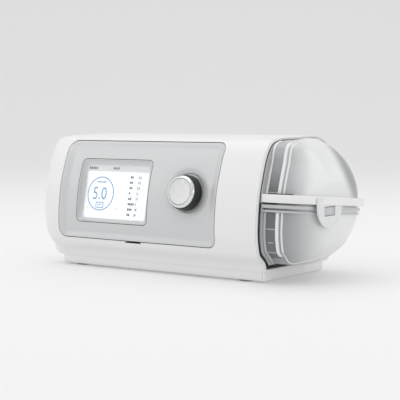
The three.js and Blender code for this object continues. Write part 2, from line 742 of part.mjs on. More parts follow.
const boardTop = mainBoard.z + mainBoard.thickness + gap;
const boardX = (share) => THREE.MathUtils.lerp(mainBoard.left, mainBoard.right, share);
const boardY = (share) => THREE.MathUtils.lerp(mainBoard.front, mainBoard.rear, share);
const partShares = {
  buzzer: [0.16, 0.2], capacitor: [0.8, 0.2], chip: [0.45, 0.3], sensor: [0.8, 0.6],
};
const buzzerRod = (radius, from, to) => rod(
  'z', radius, from, to, boardX(partShares.buzzer[0]), boardY(partShares.buzzer[1]),
);
add('buzzer', cut(
  buzzerRod(parts.buzzerRadius, boardTop, boardTop + parts.buzzerHeight),
  buzzerRod(parts.buzzerRadius / 4, boardTop + parts.buzzerHeight / 2, boardTop + parts.buzzerHeight * 2),
), black);
const capacitor = rod(
  'z', parts.capacitorRadius, mainBoard.z, boardTop + parts.capacitorHeight,
  boardX(partShares.capacitor[0]), boardY(partShares.capacitor[1]),
);
const processor = box(
  boardX(partShares.chip[0]) - parts.chipSize / 2,
  boardX(partShares.chip[0]) + parts.chipSize / 2,
  boardY(partShares.chip[1]) - parts.chipSize / 2,
  boardY(partShares.chip[1]) + parts.chipSize / 2,
  mainBoard.z, boardTop + parts.chipHeight,
);
add('main_board', join(slab(
  mainBoard.left, mainBoard.right, mainBoard.front, mainBoard.rear,
  mainBoard.z, mainBoard.z + mainBoard.thickness, board.cornerRadius,
), capacitor, processor), laminate);
add('flow_sensor', box(
  boardX(partShares.sensor[0]) - parts.sensorWidth / 2,
  boardX(partShares.sensor[0]) + parts.sensorWidth / 2,
  boardY(partShares.sensor[1]) - parts.sensorDepth / 2,
  boardY(partShares.sensor[1]) + parts.sensorDepth / 2,
  boardTop, boardTop + parts.sensorHeight,
), grey);
add('rear_board', slab(
  rearBoard.left, rearBoard.right, rearBoard.front, rearBoard.rear,
  rearBoard.top - rearBoard.thickness, rearBoard.top, board.cornerRadius,
), laminate);

// The blower: two halves of a volute on rubber cushions, a motor below and a bladed wheel above it

const voluteTop = blower.seatZ + blower.lowerHeight;
const spoutY = noseCentreY - port.offset;
const blowerRod = (radius, from, to) => rod('z', radius, from, to, blower.x, blower.y);
const spoutEnd = blower.x + blower.spoutReach;
const spout = (radius, from, to) => rod('x', radius, from, to, spoutY, blower.spoutZ);
add('blower_lower', cut(
  join(
    blowerRod(blower.radius, blower.seatZ, voluteTop),
    spout(blower.spoutRadius, blower.x, spoutEnd),
  ),
  blowerRod(blower.radius - blower.wall, blower.seatZ + blower.wall, voluteTop + overrun),
  spout(blower.spoutBore, blower.x + blower.wall, spoutEnd + overrun),
), black);
const coverTop = voluteTop + blower.upperHeight;
const collarEnd = coverTop + blower.collar;
add('blower_upper', cut(
  join(
    blowerRod(blower.radius, voluteTop + gap, coverTop),
    blowerRod(blower.inletRadius, voluteTop + gap, collarEnd),
  ),
  blowerRod(blower.radius - blower.wall, voluteTop - overrun, coverTop - blower.wall),
  blowerRod(blower.inletRadius - blower.wall, voluteTop, collarEnd + overrun),
), black);
const motorBase = blower.seatZ + blower.wall + gap;
const motorTop = motorBase + motor.height;
add('motor', cut(
  blowerRod(motor.radius, motorBase, motorTop),
  blowerRod(motor.bearingRadius + gap, motorTop - motor.bearingHeight, motorTop + overrun),
  blowerRod(motor.shaftRadius + gap, motorBase + gap * 2, motorTop),
), aluminium);
add('motor_bearing', cut(
  blowerRod(motor.bearingRadius, motorTop - motor.bearingHeight + gap, motorTop),
  blowerRod(motor.shaftRadius + gap, motorBase, motorTop + overrun),
), steel);
const wheelBottom = motorTop + slack;
const wheelTop = wheelBottom + wheel.plate + wheel.bladeHeight;
add('motor_shaft', blowerRod(motor.shaftRadius, motorBase + gap * 3, wheelTop), steel);
let wheelSolid = join(
  blowerRod(wheel.radius, wheelBottom, wheelBottom + wheel.plate),
  blowerRod(wheel.hubRadius, wheelBottom, wheelTop),
);
for (let i = 0; i < wheel.blades; i += 1) {
  const blade = block(
    wheel.hubRadius - wheel.plate, wheel.radius, -wheel.bladeThickness / 2, wheel.bladeThickness / 2,
    wheelBottom + wheel.plate / 2, wheelTop,
  ).rotateZ((i / wheel.blades) * Math.PI * 2);
  wheelSolid = join(wheelSolid, closed(blade.translate(blower.x, blower.y, 0)));
}
add('impeller', cut(
  wheelSolid,
  blowerRod(motor.shaftRadius + gap, wheelBottom - overrun, wheelTop + overrun),
), finish('#d7dadc', 0.5));
cushionPlaces.forEach(([x, y], i) => {
  const height = blower.seatZ - tray.floor - gap * 2;
  const profile = [
    [0, 0], [cushion.radius, 0], [cushion.waist, height / 2], [cushion.radius, height], [0, height],
  ].map(([r, z]) => new THREE.Vector2(r, z));
  const body = new THREE.LatheGeometry(profile, smallSteps).rotateX(Math.PI / 2);
  add(`blower_cushion_${i + 1}`, closed(body.translate(x, y, tray.floor + gap)), rubber);
});

// A bent duct: an outside and a bore swept along straight runs whose corners are rounded

function ductLine(corners, bend) {
  const points = corners.map((corner) => new THREE.Vector3(...corner));
  const line = new THREE.CurvePath();
  let from = points[0];
  for (let i = 1; i < points.length - 1; i += 1) {
    const before = points[i].clone().sub(points[i - 1]).setLength(bend);
    const after = points[i + 1].clone().sub(points[i]).setLength(bend);
    const [start, end] = [points[i].clone().sub(before), points[i].clone().add(after)];
    line.add(new THREE.LineCurve3(from, start));
    line.add(new THREE.QuadraticBezierCurve3(start, points[i], end));
    from = end;
  }
  line.add(new THREE.LineCurve3(from, points.at(-1)));
  return line;
}

function bentDuct(corners, radius, bore, bend) {
  const sweep = (size, line) => {
    const shape = new THREE.Shape().absarc(0, 0, size, 0, Math.PI * 2);
    const options = {
      steps: ductSteps, bevelEnabled: false, extrudePath: line, curveSegments: ductSides,
    };
    return closed(new THREE.ExtrudeGeometry(shape, options));
  };
  const beyond = (end, next) => {
    const [a, b] = [new THREE.Vector3(...end), new THREE.Vector3(...next)];
    return a.clone().add(a.clone().sub(b).setLength(overrun)).toArray();
  };
  const longer = [
    beyond(corners[0], corners[1]), ...corners.slice(1, -1), beyond(corners.at(-1), corners.at(-2)),
  ];
  return cut(sweep(radius, ductLine(corners, bend)), sweep(bore, ductLine(longer, bend)));
}

// The air's way: filter tray and foam, muffler box, inlet duct, blower, outlet duct

const trayFront = muffler.rear + gap;
const trayRear = casing.depth - casing.wall - gap * 2;
const filterX = (filter.left + filter.right) / 2;
const filterZ = (filter.bottom + filter.top) / 2;
add('filter_tray', cut(
  box(filter.left - filter.trayWall, filter.right + filter.trayWall, trayFront, trayRear,
    filter.bottom - filter.trayWall, filter.top + filter.trayWall),
  box(filter.left, filter.right, trayFront + filter.trayWall, casing.depth, filter.bottom, filter.top),
  rod('y', filter.holeRadius, 0, casing.depth, filterX, filterZ),
), grey);
const foamFront = trayFront + filter.trayWall + gap;
add('air_filter', box(
  filter.left + gap, filter.right - gap, foamFront, foamFront + filter.thickness,
  filter.bottom + gap, filter.top - gap,
), foam);
const doorRear = casing.depth;
const doorAxis = {
  y: casing.depth - filterDoor.thickness / 2,
  z: filter.bottom + slack + filterDoor.thickness / 2,
};
let door = join(
  box(filter.left + slack, filter.right - slack, doorRear - filterDoor.thickness, doorRear,
    doorAxis.z, filter.top - slack),
  rod(
    'x', filterDoor.thickness / 2, filter.left + slack, filter.right - slack,
    doorAxis.y, doorAxis.z, smallSteps,
  ),
);
const slotPitch = (filter.top - filter.bottom - filterDoor.margin * 2) / filterDoor.slots;
for (let i = 0; i < filterDoor.slots; i += 1) {
  const z = filter.bottom + filterDoor.margin + slotPitch * (i + 1 / 2);
  door = cut(door, box(
    filter.left + filterDoor.margin, filter.right - filterDoor.margin, casing.depth / 2,
    casing.depth + overrun, z - filterDoor.slotHeight / 2, z + filterDoor.slotHeight / 2,
  ));
}
add('filter_door', door, white);
add('muffler_box', cut(
  box(muffler.left, muffler.right, muffler.front, muffler.rear, muffler.bottom, muffler.top),
  box(muffler.left + muffler.wall, muffler.right - muffler.wall, muffler.front + muffler.wall,
    muffler.rear - muffler.wall, muffler.bottom + muffler.wall, muffler.top - muffler.wall),
  rod('y', filter.holeRadius, muffler.postY, casing.depth, filterX, filterZ),
  rod('x', inletDuct.bore, (muffler.left + muffler.right) / 2, 0, inletY, inletZ),
), black);
add('muffler_foam', box(
  muffler.left + muffler.wall + gap, muffler.right - muffler.wall - gap,
  muffler.front + muffler.wall + gap, muffler.front + muffler.wall + filter.thickness,
  muffler.bottom + muffler.wall + gap, muffler.top - muffler.wall - gap,
), foam);
const collarTop = collarEnd + gap;
add('inlet_duct', bentDuct([
  [muffler.right + gap, inletY, inletZ],
  [inletDuct.x, inletY, inletZ],
  [blower.x, blower.y, inletZ],
  [blower.x, blower.y, collarTop],
], inletDuct.radius, inletDuct.bore, inletDuct.bend), silicone);

// The dock: a pocket for the chamber's inner end, and above it a wall with the two air seals

const dockInset = casing.wall + gap;
const pocketInset = dockInset + dock.wall;
const plateFront = dock.plateX + dock.plate;
const portPlaces = [-port.offset, port.offset].map((offset) => noseCentreY + offset);
const panelRoom = cut(
  casingSlice(0, panel.left, panel.right + panel.lap + gap),
  casingSlice(panelInset + panel.thickness + gap, panel.left - overrun, panel.right + panel.reach),
).intersect(panelPrism(panel.lap + gap, -overrun, panel.reach));
const dockForm = cut(
  casingSlice(dockInset, -dock.length, plateFront),
  casingSlice(pocketInset, -dock.length + dock.wall, overrun).intersect(
    box(-farSide, farSide, -farSide, farSide, -farSide, dock.shelfZ),
  ),
  casingSlice(pocketInset, -dock.length - overrun, dock.plateX).intersect(
    box(-farSide, farSide, -farSide, farSide, dock.shelfZ + dock.shelf, farSide),
  ),
  slab(heater.left - gap, heater.right + gap, heater.front - gap, heater.rear + gap,
    0, chamber.floorZ, heater.radius),
  ...portPlaces.map((y) => rod('x', portSeal.radius + gap, dock.plateX - overrun, 0, y, port.z)),
  panelRoom,
);
add('dock_frame', dockForm, black);
portPlaces.forEach((y, i) => add(['inlet_seal', 'outlet_seal'][i], cut(
  join(
    rod('x', portSeal.radius, dock.plateX, plateFront + gap * 2, y, port.z),
    rod('x', portSeal.flangeRadius, plateFront + gap, plateFront + gap + portSeal.flange, y, port.z),
  ),
  rod('x', port.radius + gap, dock.plateX - overrun, 0, y, port.z),
), silicone));
const filmBottom = tray.floor + gap;
add('heater_film', slab(
  heater.left, heater.right, heater.front, heater.rear,
  filmBottom, filmBottom + heater.filmThickness, heater.radius,
), amber);
add('heater_plate', slab(
  heater.left, heater.right, heater.front, heater.rear,
  filmBottom + heater.filmThickness + gap, chamber.floorZ - gap, heater.radius,
), aluminium);
const ductEnd = dock.plateX - gap;
const ductRise = -dock.length - duct.radius - slack;
add('chamber_duct', bentDuct([
  [spoutEnd + gap, spoutY, blower.spoutZ],
  [ductRise, spoutY, blower.spoutZ],
  [ductRise, spoutY, port.z],
  [ductEnd, spoutY, port.z],
], duct.radius, duct.bore, duct.bend), silicone);
const outletFront = casing.depth - outlet.inside;
add('outlet_duct', bentDuct([
  [ductEnd, portPlaces[1], port.z],
  [outlet.x, portPlaces[1], port.z],
  [outlet.x, portPlaces[1], outletZ],
  [outlet.x, outletFront - gap, outletZ],
], duct.radius, duct.bore, duct.bend), silicone);
const flangeFront = casing.depth + slack;
add('air_outlet', cut(
  join(
    rod('y', outlet.radius, outletFront, casing.depth + outlet.projection, outlet.x, outletZ),
    rod('y', outlet.flangeRadius, flangeFront, flangeFront + outlet.flange, outlet.x, outletZ),
  ),
  rod('y', outlet.bore, 0, casing.depth * 2, outlet.x, outletZ),
), white);

// Rear connectors on their board: power inlet, standby button with its switch, card and reader

const rearBoardFront = rearBoard.top + gap;
add('power_inlet', join(
  cut(
    rod('y', jack.radius, casing.depth - jack.length, casing.depth - gap, jack.x, jack.z),
    rod('y', jack.bore, casing.depth - jack.depth, casing.depth + overrun, jack.x, jack.z),
  ),
  rod(
    'y', jack.pinRadius, casing.depth - jack.depth - gap, casing.depth - casing.wall,
    jack.x, jack.z, smallSteps,
  ),
), black);
const buttonBack = casing.depth - power.inside;
add('power_button', rod(
  'y', power.radius, buttonBack, casing.depth + power.proud, power.x, power.z,
), grey);
add('power_switch', box(
  power.x - power.radius, power.x + power.radius,
  buttonBack - power.travel - gap - power.switchDepth, buttonBack - power.travel - gap,
  rearBoardFront, power.z + power.radius,
), black);
const readerRear = casing.depth - card.setback;
const cardRear = casing.depth + card.proud;
const cardCut = (from, grow) => box(
  card.x - card.width / 2 - grow, card.x + card.width / 2 + grow, from, casing.depth,
  card.z - card.height / 2 - grow, card.z + card.height / 2 + grow,
);
add('card_reader', cut(
  box(
    card.x - card.width / 2 - card.readerWall, card.x + card.width / 2 + card.readerWall,
    cardRear - card.length - card.readerWall, readerRear, rearBoardFront,
    card.z + card.height / 2 + card.readerWall,
  ),
  cardCut(cardRear - card.length - gap, gap),
), steel);
add('memory_card', box(
  card.x - card.width / 2, card.x + card.width / 2, cardRear - card.length, cardRear,
  card.z - card.height / 2, card.z + card.height / 2,
), finish('#2f4d86', 0.4));

// The water chamber's bowl: its inner end is roofed, its nose is open under the lid

const mouthX = backWall.x + backWall.thickness + chamber.wall;
const bowlRoof = aboveRim(-chamber.wall).intersect(
  box(-farSide, mouthX, -farSide, farSide, -farSide, farSide),
);
const plate = {
  left: heater.left + heatPlate.margin, right: heater.right - heatPlate.margin,
  front: heater.front + heatPlate.margin, rear: heater.rear - heatPlate.margin,
};
const catchNub = box(
  chamber.noseStart + chamber.noseLength - chamber.wall,
  chamber.noseStart + chamber.noseLength + band.proud - latch.thickness - gap,
  latchY - latch.windowWidth / 3, latchY + latch.windowWidth / 3,
  chamber.bowlTopZ - latch.windowHeight, chamber.bowlTopZ - latch.windowHeight / 2,
);
const bowl = cut(
  join(
    chamberForm(0, -chamber.insideLength).intersect(belowRim(0)),
    rimRing(chamber.lidStart, lip.proud, -chamber.wall / 2, -lip.drop - lip.height, -lip.drop),
  ),
  cut(chamberForm(chamber.wall, -chamber.insideLength + chamber.wall), bowlRoof),
  slab(plate.left - gap, plate.right + gap, plate.front - gap, plate.rear + gap,
    0, chamber.floorZ + chamber.wall + gap, heater.radius),
);
add('water_tub', join(bowl, catchNub), clear('#c9ced2', 0.45));
add('tub_heat_plate', slab(
  plate.left, plate.right, plate.front, plate.rear,
  chamber.floorZ, chamber.floorZ + heatPlate.thickness, heater.radius - gap,
), steel);

// The chamber's back wall stands on the roofed end, with two air spigots and the lid's hinge ears

const wallPlate = chamberForm(chamber.wall + slack, chamber.lidStart)
  .intersect(aboveRim(gap))
  .intersect(box(
    backWall.x, backWall.x + backWall.thickness, -farSide, farSide, 0, backWall.top,
  ));
const earPlaces = [-hinge.halfSpan, hinge.halfSpan].map((offset) => noseCentreY + offset);
const ear = (y) => join(
  box(backWall.x, hinge.x, y - hinge.earWidth / 2, y + hinge.earWidth / 2,
    backWall.top - hinge.earWidth, hinge.z),
  rod(
    'y', hinge.knuckleRadius, y - hinge.earWidth / 2, y + hinge.earWidth / 2,
    hinge.x, hinge.z, smallSteps,
  ),
);
const spigot = (radius, from, to) => portPlaces.map((y) => rod('x', radius, from, to, y, port.z));
const pinHole = rod('y', hinge.pinRadius + gap, 0, casing.depth, hinge.x, hinge.z);
add('chamber_wall', cut(
  join(wallPlate, ...spigot(port.radius, port.end, backWall.x + gap), ...earPlaces.map(ear)),
  ...spigot(port.bore, port.end - overrun, mouthX),
  pinHole,
), clear('#d3d8db', 0.5));
const pinReach = hinge.halfSpan + hinge.earWidth / 2;
add('hinge_pin', rod(
  'y', hinge.pinRadius, noseCentreY - pinReach, noseCentreY + pinReach, hinge.x, hinge.z,
), steel);

// The lid: a clear dome with a frosted band round its foot and two hinge knuckles under its roof

const latchX = chamber.noseStart + chamber.noseLength + band.proud;
const latchAxis = { x: latchX - latch.thickness, z: 0 };
const bandTilt = Math.tan(chamber.rimTilt * degree) * latchY;
const bandLow = chamber.rimFrontZ - bandTilt;
latchAxis.z = bandLow + band.height;
const latchSides = [-latch.width / 2, latch.width / 2].map((offset) => latchY + offset);
const latchPocket = box(
  chamber.noseStart + chamber.noseLength + gap, casing.length, latchSides[0] - gap, latchSides[1] + gap,
  bandLow - band.height, latchAxis.z + band.height,
);
const knuckleOffset = hinge.halfSpan - hinge.earWidth / 2 - gap - hinge.knuckleWidth / 2;
const knucklePlaces = [-knuckleOffset, knuckleOffset].map((offset) => noseCentreY + offset);
const knuckle = (y) => join(
  rod(
    'y', hinge.knuckleRadius, y - hinge.knuckleWidth / 2, y + hinge.knuckleWidth / 2,
    hinge.x, hinge.z, smallSteps,
  ),
  box(hinge.x - hinge.knuckleRadius, hinge.x + hinge.knuckleRadius, y - hinge.knuckleWidth / 2,
    y + hinge.knuckleWidth / 2, hinge.z, hinge.z + hinge.knuckleRadius * 2),
);
const lidForm = chamberForm(0, chamber.lidStart);
const lidSkin = cut(
  join(lidForm, rimRing(chamber.lidStart, band.proud, -chamber.wall / 2, gap, band.height)),
  chamberForm(chamber.wall, chamber.lidStart - overrun),
).intersect(aboveRim(gap));
const sealGroove = rimRing(
  seal.start - gap, gap - seal.edge, -seal.edge - seal.width - gap, 0, seal.height + gap * 2,
);
add('chamber_lid', cut(
  join(lidSkin, ...knucklePlaces.map(knuckle).map((solid) => solid.intersect(lidForm))),
  sealGroove,
  pinHole,
  latchPocket,
), clear('#cdd1d4', 0.45));
add('lid_seal', rimRing(seal.start, -seal.edge, -seal.edge - seal.width, gap, gap + seal.height), silicone);

// The latch: a piece of the band that flexes outwards, with a windowed tongue over the bowl's catch

function tongue(x0, x1) {
  const shape = new THREE.Shape();
  const [half, top] = [latch.width / 2, latchAxis.z];
  shape.moveTo(-half, top);
  shape.lineTo(-half, bandLow);
  shape.absellipse(0, bandLow, half, latch.drop, Math.PI, Math.PI * 2);
  shape.lineTo(half, top);
  const opening = new THREE.Path();
  const [side, ceiling, sill] = [latch.windowWidth / 2, bandLow - gap * 2, bandLow - latch.windowHeight];
  opening.moveTo(-side, sill);
  opening.lineTo(side, sill);
  opening.lineTo(side, ceiling);
  opening.lineTo(-side, ceiling);
  shape.holes.push(opening);
  const options = { depth: x1 - x0, bevelEnabled: false, curveSegments: smallSteps };
  const body = new THREE.ExtrudeGeometry(shape, options).rotateX(Math.PI / 2).rotateZ(Math.PI / 2);
  return closed(body.translate(x0, latchY, 0));
}
const latchBand = box(
  chamber.noseStart + chamber.noseLength + gap * 3, latchX, latchSides[0], latchSides[1],
  bandLow + gap, latchAxis.z,
);
add('lid_latch', join(tongue(latchX - latch.thickness, latchX), latchBand), clear('#e2e5e7', 0.6));

// The whole stands centred on its footprint
const middle = new THREE.Box3().setFromObject(group).getCenter(new THREE.Vector3());
group.position.set(-middle.x, -middle.y, 0);

export default group;
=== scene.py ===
import math

import bmesh
import bpy
import numpy as np
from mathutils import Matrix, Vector


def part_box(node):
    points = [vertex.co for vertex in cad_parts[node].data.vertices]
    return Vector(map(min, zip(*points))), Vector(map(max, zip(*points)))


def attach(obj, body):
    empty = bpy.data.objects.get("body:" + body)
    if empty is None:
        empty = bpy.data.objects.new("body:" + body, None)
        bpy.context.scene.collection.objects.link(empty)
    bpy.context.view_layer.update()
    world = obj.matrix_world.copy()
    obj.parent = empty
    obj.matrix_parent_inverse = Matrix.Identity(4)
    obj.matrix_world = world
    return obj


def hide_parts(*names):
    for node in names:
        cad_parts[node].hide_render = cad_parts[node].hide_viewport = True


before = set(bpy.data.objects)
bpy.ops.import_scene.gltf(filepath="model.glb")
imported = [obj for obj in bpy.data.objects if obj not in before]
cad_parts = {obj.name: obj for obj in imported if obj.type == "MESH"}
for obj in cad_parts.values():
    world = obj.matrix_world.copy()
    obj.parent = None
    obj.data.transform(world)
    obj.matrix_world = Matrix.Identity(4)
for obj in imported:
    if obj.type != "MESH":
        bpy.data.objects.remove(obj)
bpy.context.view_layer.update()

# The studio. A pale sheet runs under the machine and curves up behind it, a large soft light hangs
# above and in front, and the camera stands in front and to the right, as for the photograph.

mm = 0.001
photo_pixels = 400
housing_low, housing_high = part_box("main_housing")
machine_origin = np.array((housing_high.x, housing_low.y, 0))


def placed(points):
    """Millimetres from the casing's right edge, its front line and the floor, as frame places."""
    return np.asarray(points, float) * mm + machine_origin


camera_turn = math.radians(36.13)
camera_focal_pixels = 1147
horizon_pixel = 115.9
camera_right = Vector((math.cos(camera_turn), math.sin(camera_turn), 0))
camera_ahead = Vector((-math.sin(camera_turn), math.cos(camera_turn), 0))
camera_dip = math.atan((photo_pixels / 2 - horizon_pixel) / camera_focal_pixels)
camera_place = Vector(placed((525.5, -800.06, 142.7)))

camera_data = bpy.data.cameras.new("photo_camera")
camera_data.sensor_width = 36
camera_data.lens = camera_focal_pixels / photo_pixels * camera_data.sensor_width
camera_data.clip_end = 20
camera = bpy.data.objects.new("photo_camera", camera_data)
bpy.context.collection.objects.link(camera)
camera.location = camera_place
look = camera_ahead * math.cos(camera_dip) - Vector((0, 0, math.sin(camera_dip)))
camera.rotation_euler = look.to_track_quat("-Z", "Y").to_euler()
bpy.context.scene.camera = camera


def colour(sheet_hex):
    """An sRGB hex colour as linear red, green, blue and one."""
    parts = [int(sheet_hex[i:i + 2], 16) / 255 for i in (1, 3, 5)]
    linear = [c / 12.92 if c <= 0.04045 else ((c + 0.055) / 1.055) ** 2.4 for c in parts]
    return (*linear, 1.0)


def add_node(material, kind, settings=None, **links):
    """Adds a node. Settings name its properties; links give its sockets values or other sockets."""
    node = material.node_tree.nodes.new(kind)
    for key, value in (settings or {}).items():
        setattr(node, key, value)
    for key, value in links.items():
        numbered = key[0] == "n" and key[1:].isdigit()
        socket = node.inputs[int(key[1:]) if numbered else key.replace("_", " ")]
        if isinstance(value, bpy.types.NodeSocket):
            material.node_tree.links.new(value, socket)
        else:
            socket.default_value = value
    return node


def surface(name, lump, relief, dark, light, rough, detail=3.0, stretch=(1, 1, 1), depth=0.1, **more):
    """A material whose colour, gloss and relief follow one noise, with lumps about so many
    millimetres wide. With no light colour, or with one roughness, that socket holds a constant."""
    material = bpy.data.materials.new(name)
    material.use_nodes = True
    material.node_tree.nodes.clear()
    at = add_node(material, "ShaderNodeTexCoord")
    scaled = add_node(material, "ShaderNodeMapping", Vector=at.outputs["Object"], Scale=stretch)
    noise = add_node(
        material, "ShaderNodeTexNoise", Vector=scaled.outputs["Vector"], Scale=1 / (lump * mm),
        Detail=detail,
    ).outputs["Fac"]
    bumps = add_node(
        material, "ShaderNodeBump", Strength=relief, Distance=depth * mm, Height=noise,
    ).outputs["Normal"]
    body = colour(dark)
    if light:
        body = add_node(
            material, "ShaderNodeMix", {"data_type": "RGBA"}, n0=noise, n6=body, n7=colour(light),
        ).outputs[2]
    if isinstance(rough, tuple):
        rough = add_node(
            material, "ShaderNodeMapRange", Value=noise, To_Min=rough[0], To_Max=rough[1],
        ).outputs["Result"]
    shader = add_node(
        material, "ShaderNodeBsdfPrincipled", Base_Color=body, Roughness=rough, Normal=bumps, **more,
    )
    add_node(material, "ShaderNodeOutputMaterial", Surface=shader.outputs["BSDF"])
    return material


def add_piece(name, mesh, material, body, angle=35, edge=0.0, segments=2):
    """Links a mesh as a piece on a body. It is smooth, but for edges sharper than an angle, and
    those are rounded by so many millimetres."""
    piece = bpy.data.objects.new(name, mesh)
    bpy.context.collection.objects.link(piece)
    mesh.materials.clear()
    mesh.materials.append(material)
    mesh.polygons.foreach_set("use_smooth", [True] * len(mesh.polygons))
    mesh.set_sharp_from_angle(angle=math.radians(angle))
    if edge:
        rounding = piece.modifiers.new("rounded_edges", "BEVEL")
        rounding.width = edge * mm
        rounding.segments = segments
        rounding.limit_method = "ANGLE"
        rounding.angle_limit = math.radians(angle)
        rounding.miter_outer = "MITER_ARC"
        even = piece.modifiers.new("even_shading", "WEIGHTED_NORMAL")
        even.keep_sharp = False
    if body:
        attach(piece, body)
    return piece


# Matt paper has no highlight, so the floor fades evenly into the wall behind. Its faint glow
# stands for the light that a white studio throws back.
paper = surface(
    "matt_backdrop_paper", 1.5, 0.05, "#D2D2D2", "#D5D5D5", 0.9,
    Emission_Color=colour("#FFFFFF"), Emission_Strength=0.2,
)
sheet_half_width, sheet_front, sheet_rise, sheet_radius, sheet_top = 5000, -3500, 2200, 1500, 5500
sheet_line = [(sheet_front, 0.0)]
for step in range(17):
    turn = step / 16 * math.pi / 2
    sheet_line.append((
        sheet_rise + sheet_radius * math.sin(turn), sheet_radius * (1 - math.cos(turn)),
    ))
sheet_line.append((sheet_rise + sheet_radius, sheet_top))
backdrop_mesh = bpy.data.meshes.new("backdrop")
backdrop_mesh.from_pydata(
    [
        camera_right * side * sheet_half_width * mm + camera_ahead * ahead * mm
        + Vector((0, 0, up * mm)) for ahead, up in sheet_line for side in (-1, 1)
    ],
    [], [(2 * i, 2 * i + 1, 2 * i + 3, 2 * i + 2) for i in range(len(sheet_line) - 1)],
)
add_piece("backdrop", backdrop_mesh, paper, None)

world = bpy.data.worlds.new("studio_air")
bpy.context.scene.world = world
world.use_nodes = True
bright_side = camera_right * -0.35 - camera_ahead * 0.1 + Vector((0, 0, 0.9))
sky_at = add_node(world, "ShaderNodeTexCoord")
sky_side = add_node(
    world, "ShaderNodeVectorMath", {"operation": "DOT_PRODUCT"}, n0=sky_at.outputs["Generated"],
    n1=tuple(bright_side),
)
dim_end, bright_end, dim_strength, bright_strength = -0.6, 0.9, 0.49, 0.89
sky_strength = add_node(
    world, "ShaderNodeMapRange", Value=sky_side.outputs["Value"], From_Min=dim_end,
    From_Max=bright_end, To_Min=dim_strength, To_Max=bright_strength,
)
world.node_tree.links.new(
    sky_strength.outputs["Result"], world.node_tree.nodes["Background"].inputs["Strength"],
)
world.node_tree.nodes["Background"].inputs["Color"].default_value = colour("#FFFFFF")
bpy.context.scene.view_settings.view_transform = "Standard"


def soft_light(name, right, ahead, up, width, height, power, aim=(0, 0, 0.06)):
    """A rectangular light, placed in metres to the camera's right, ahead and up."""
    data = bpy.data.lights.new(name, "AREA")
    data.shape = "RECTANGLE"
    data.size, data.size_y, data.energy = width, height, power
    lamp = bpy.data.objects.new(name, data)
    bpy.context.collection.objects.link(lamp)
    lamp.location = camera_right * right + camera_ahead * ahead + Vector((0, 0, up))
    lamp.rotation_euler = (Vector(aim) - lamp.location).to_track_quat("-Z", "Y").to_euler()


soft_light("overhead_softbox", -0.3, 0.1, 1.5, 1.8, 1.3, 6.6)
soft_light("left_softbox", -1.7, -0.1, 0.8, 1.2, 1.2, 2.6)
soft_light("rear_right_softbox", 1.2, 0.1, 0.7, 1.0, 0.9, 1.6)
soft_light("low_right_softbox", 1.1, -0.9, 0.3, 0.9, 0.5, 1.6, (0.13, 0, 0.02))

# The casing. One white ABS moulding with a satin gloss, its front leaning back, its left end
# rounded and its right end open. Four screws from below hold it to the base.

casing_length, casing_depth, casing_height, casing_wall = 255, 126, 125, 2.4
end_radius, end_top_draw, end_foot_draw, underside = 22, 4, 32, 9.6
front_face_shares = [
    (0.1103, 0.0768), (0.1087, 0.1), (0.1024, 0.124), (0.0857, 0.144), (0.0603, 0.164),
    (0.031, 0.192), (0.0167, 0.2304), (0, 0.329), (0.0071, 0.483),
    (0.0294, 0.631), (0.0523, 0.711), (0.077, 0.787), (0.1048, 0.858), (0.138, 0.914),
    (0.19, 0.9656), (0.267, 0.9872),
]
rear_face_shares = [
    (0.5, 0.996), (0.8, 0.996), (0.885, 0.965), (0.937, 0.906), (0.987, 0.75), (0.998, 0.594),
    (0.998, 0.32), (0.99, 0.2), (0.975, 0.12), (0.945, 0.0768),
]


def mesh_of(name, points, faces):
    """A mesh from millimetre points, with its faces turned outwards."""
    mesh = bpy.data.meshes.new(name)
    mesh.from_pydata([tuple(p) for p in placed(points)], [], faces)
    solid = bmesh.new()
    solid.from_mesh(mesh)
    bmesh.ops.remove_doubles(solid, verts=solid.verts, dist=1e-6)
    bmesh.ops.dissolve_degenerate(solid, edges=solid.edges, dist=1e-7)
    bmesh.ops.recalc_face_normals(solid, faces=solid.faces)
    solid.to_mesh(mesh)
    solid.free()
    return mesh


def shaped(mesh, *tools, operation="DIFFERENCE"):
    """A mesh after cutters are taken from it, or with another operation, one after the other."""
    for tool in tools:
        body = bpy.data.objects.new("shaped", mesh)
        cutter = bpy.data.objects.new("cutter", tool)
        for each in (body, cutter):
            bpy.context.collection.objects.link(each)
        boolean = body.modifiers.new("boolean", "BOOLEAN")
        boolean.operation, boolean.solver, boolean.object = operation, "MANIFOLD", cutter
        done = bpy.data.meshes.new_from_object(
            body.evaluated_get(bpy.context.evaluated_depsgraph_get()),
        )
        done.name = mesh.name
        for each in (body, cutter):
            bpy.data.objects.remove(each)
        mesh = done
    return mesh


def skin(name, rings, closed=False):
    """A skin over rings of equal count, joined in a loop or with its two ends filled in."""
    rings = [np.asarray(ring, float) for ring in rings]
    count = len(rings[0])
    faces = []
    for r in range(len(rings) if closed else len(rings) - 1):
        a, b = r * count, (r + 1) % len(rings) * count
        faces += [(a + i, a + (i + 1) % count, b + (i + 1) % count, b + i) for i in range(count)]
    if not closed:
        faces.append(tuple(range(count)))
        faces.append(tuple(range((len(rings) - 1) * count, len(rings) * count)))
    return mesh_of(name, np.vstack(rings), faces)


def block(x0, x1, y0, y1, z0, z1):
    corners = [(x0, y0), (x1, y0), (x1, y1), (x0, y1)]
    return skin("block", [[(x, y, z) for x, y in corners] for z in (z0, z1)])


def round_bar(axis, radius, start, end, first, second, sides=48):
    """A bar along an axis from start to end, or a turned form where radius is a list of (radius,
    place) pairs along it."""
    profile = radius if isinstance(radius, list) else [(radius, start), (radius, end)]
    turn = np.linspace(0, 2 * math.pi, sides, endpoint=False)
    rings = []
    for r, at in profile:
        a, b = first + r * np.cos(turn), second + r * np.sin(turn)
        along = np.full(sides, at)
        columns = {"x": (along, a, b), "y": (a, along, b), "z": (a, b, along)}[axis]
        rings.append(np.stack(columns, 1))
    return skin("bar", rings)


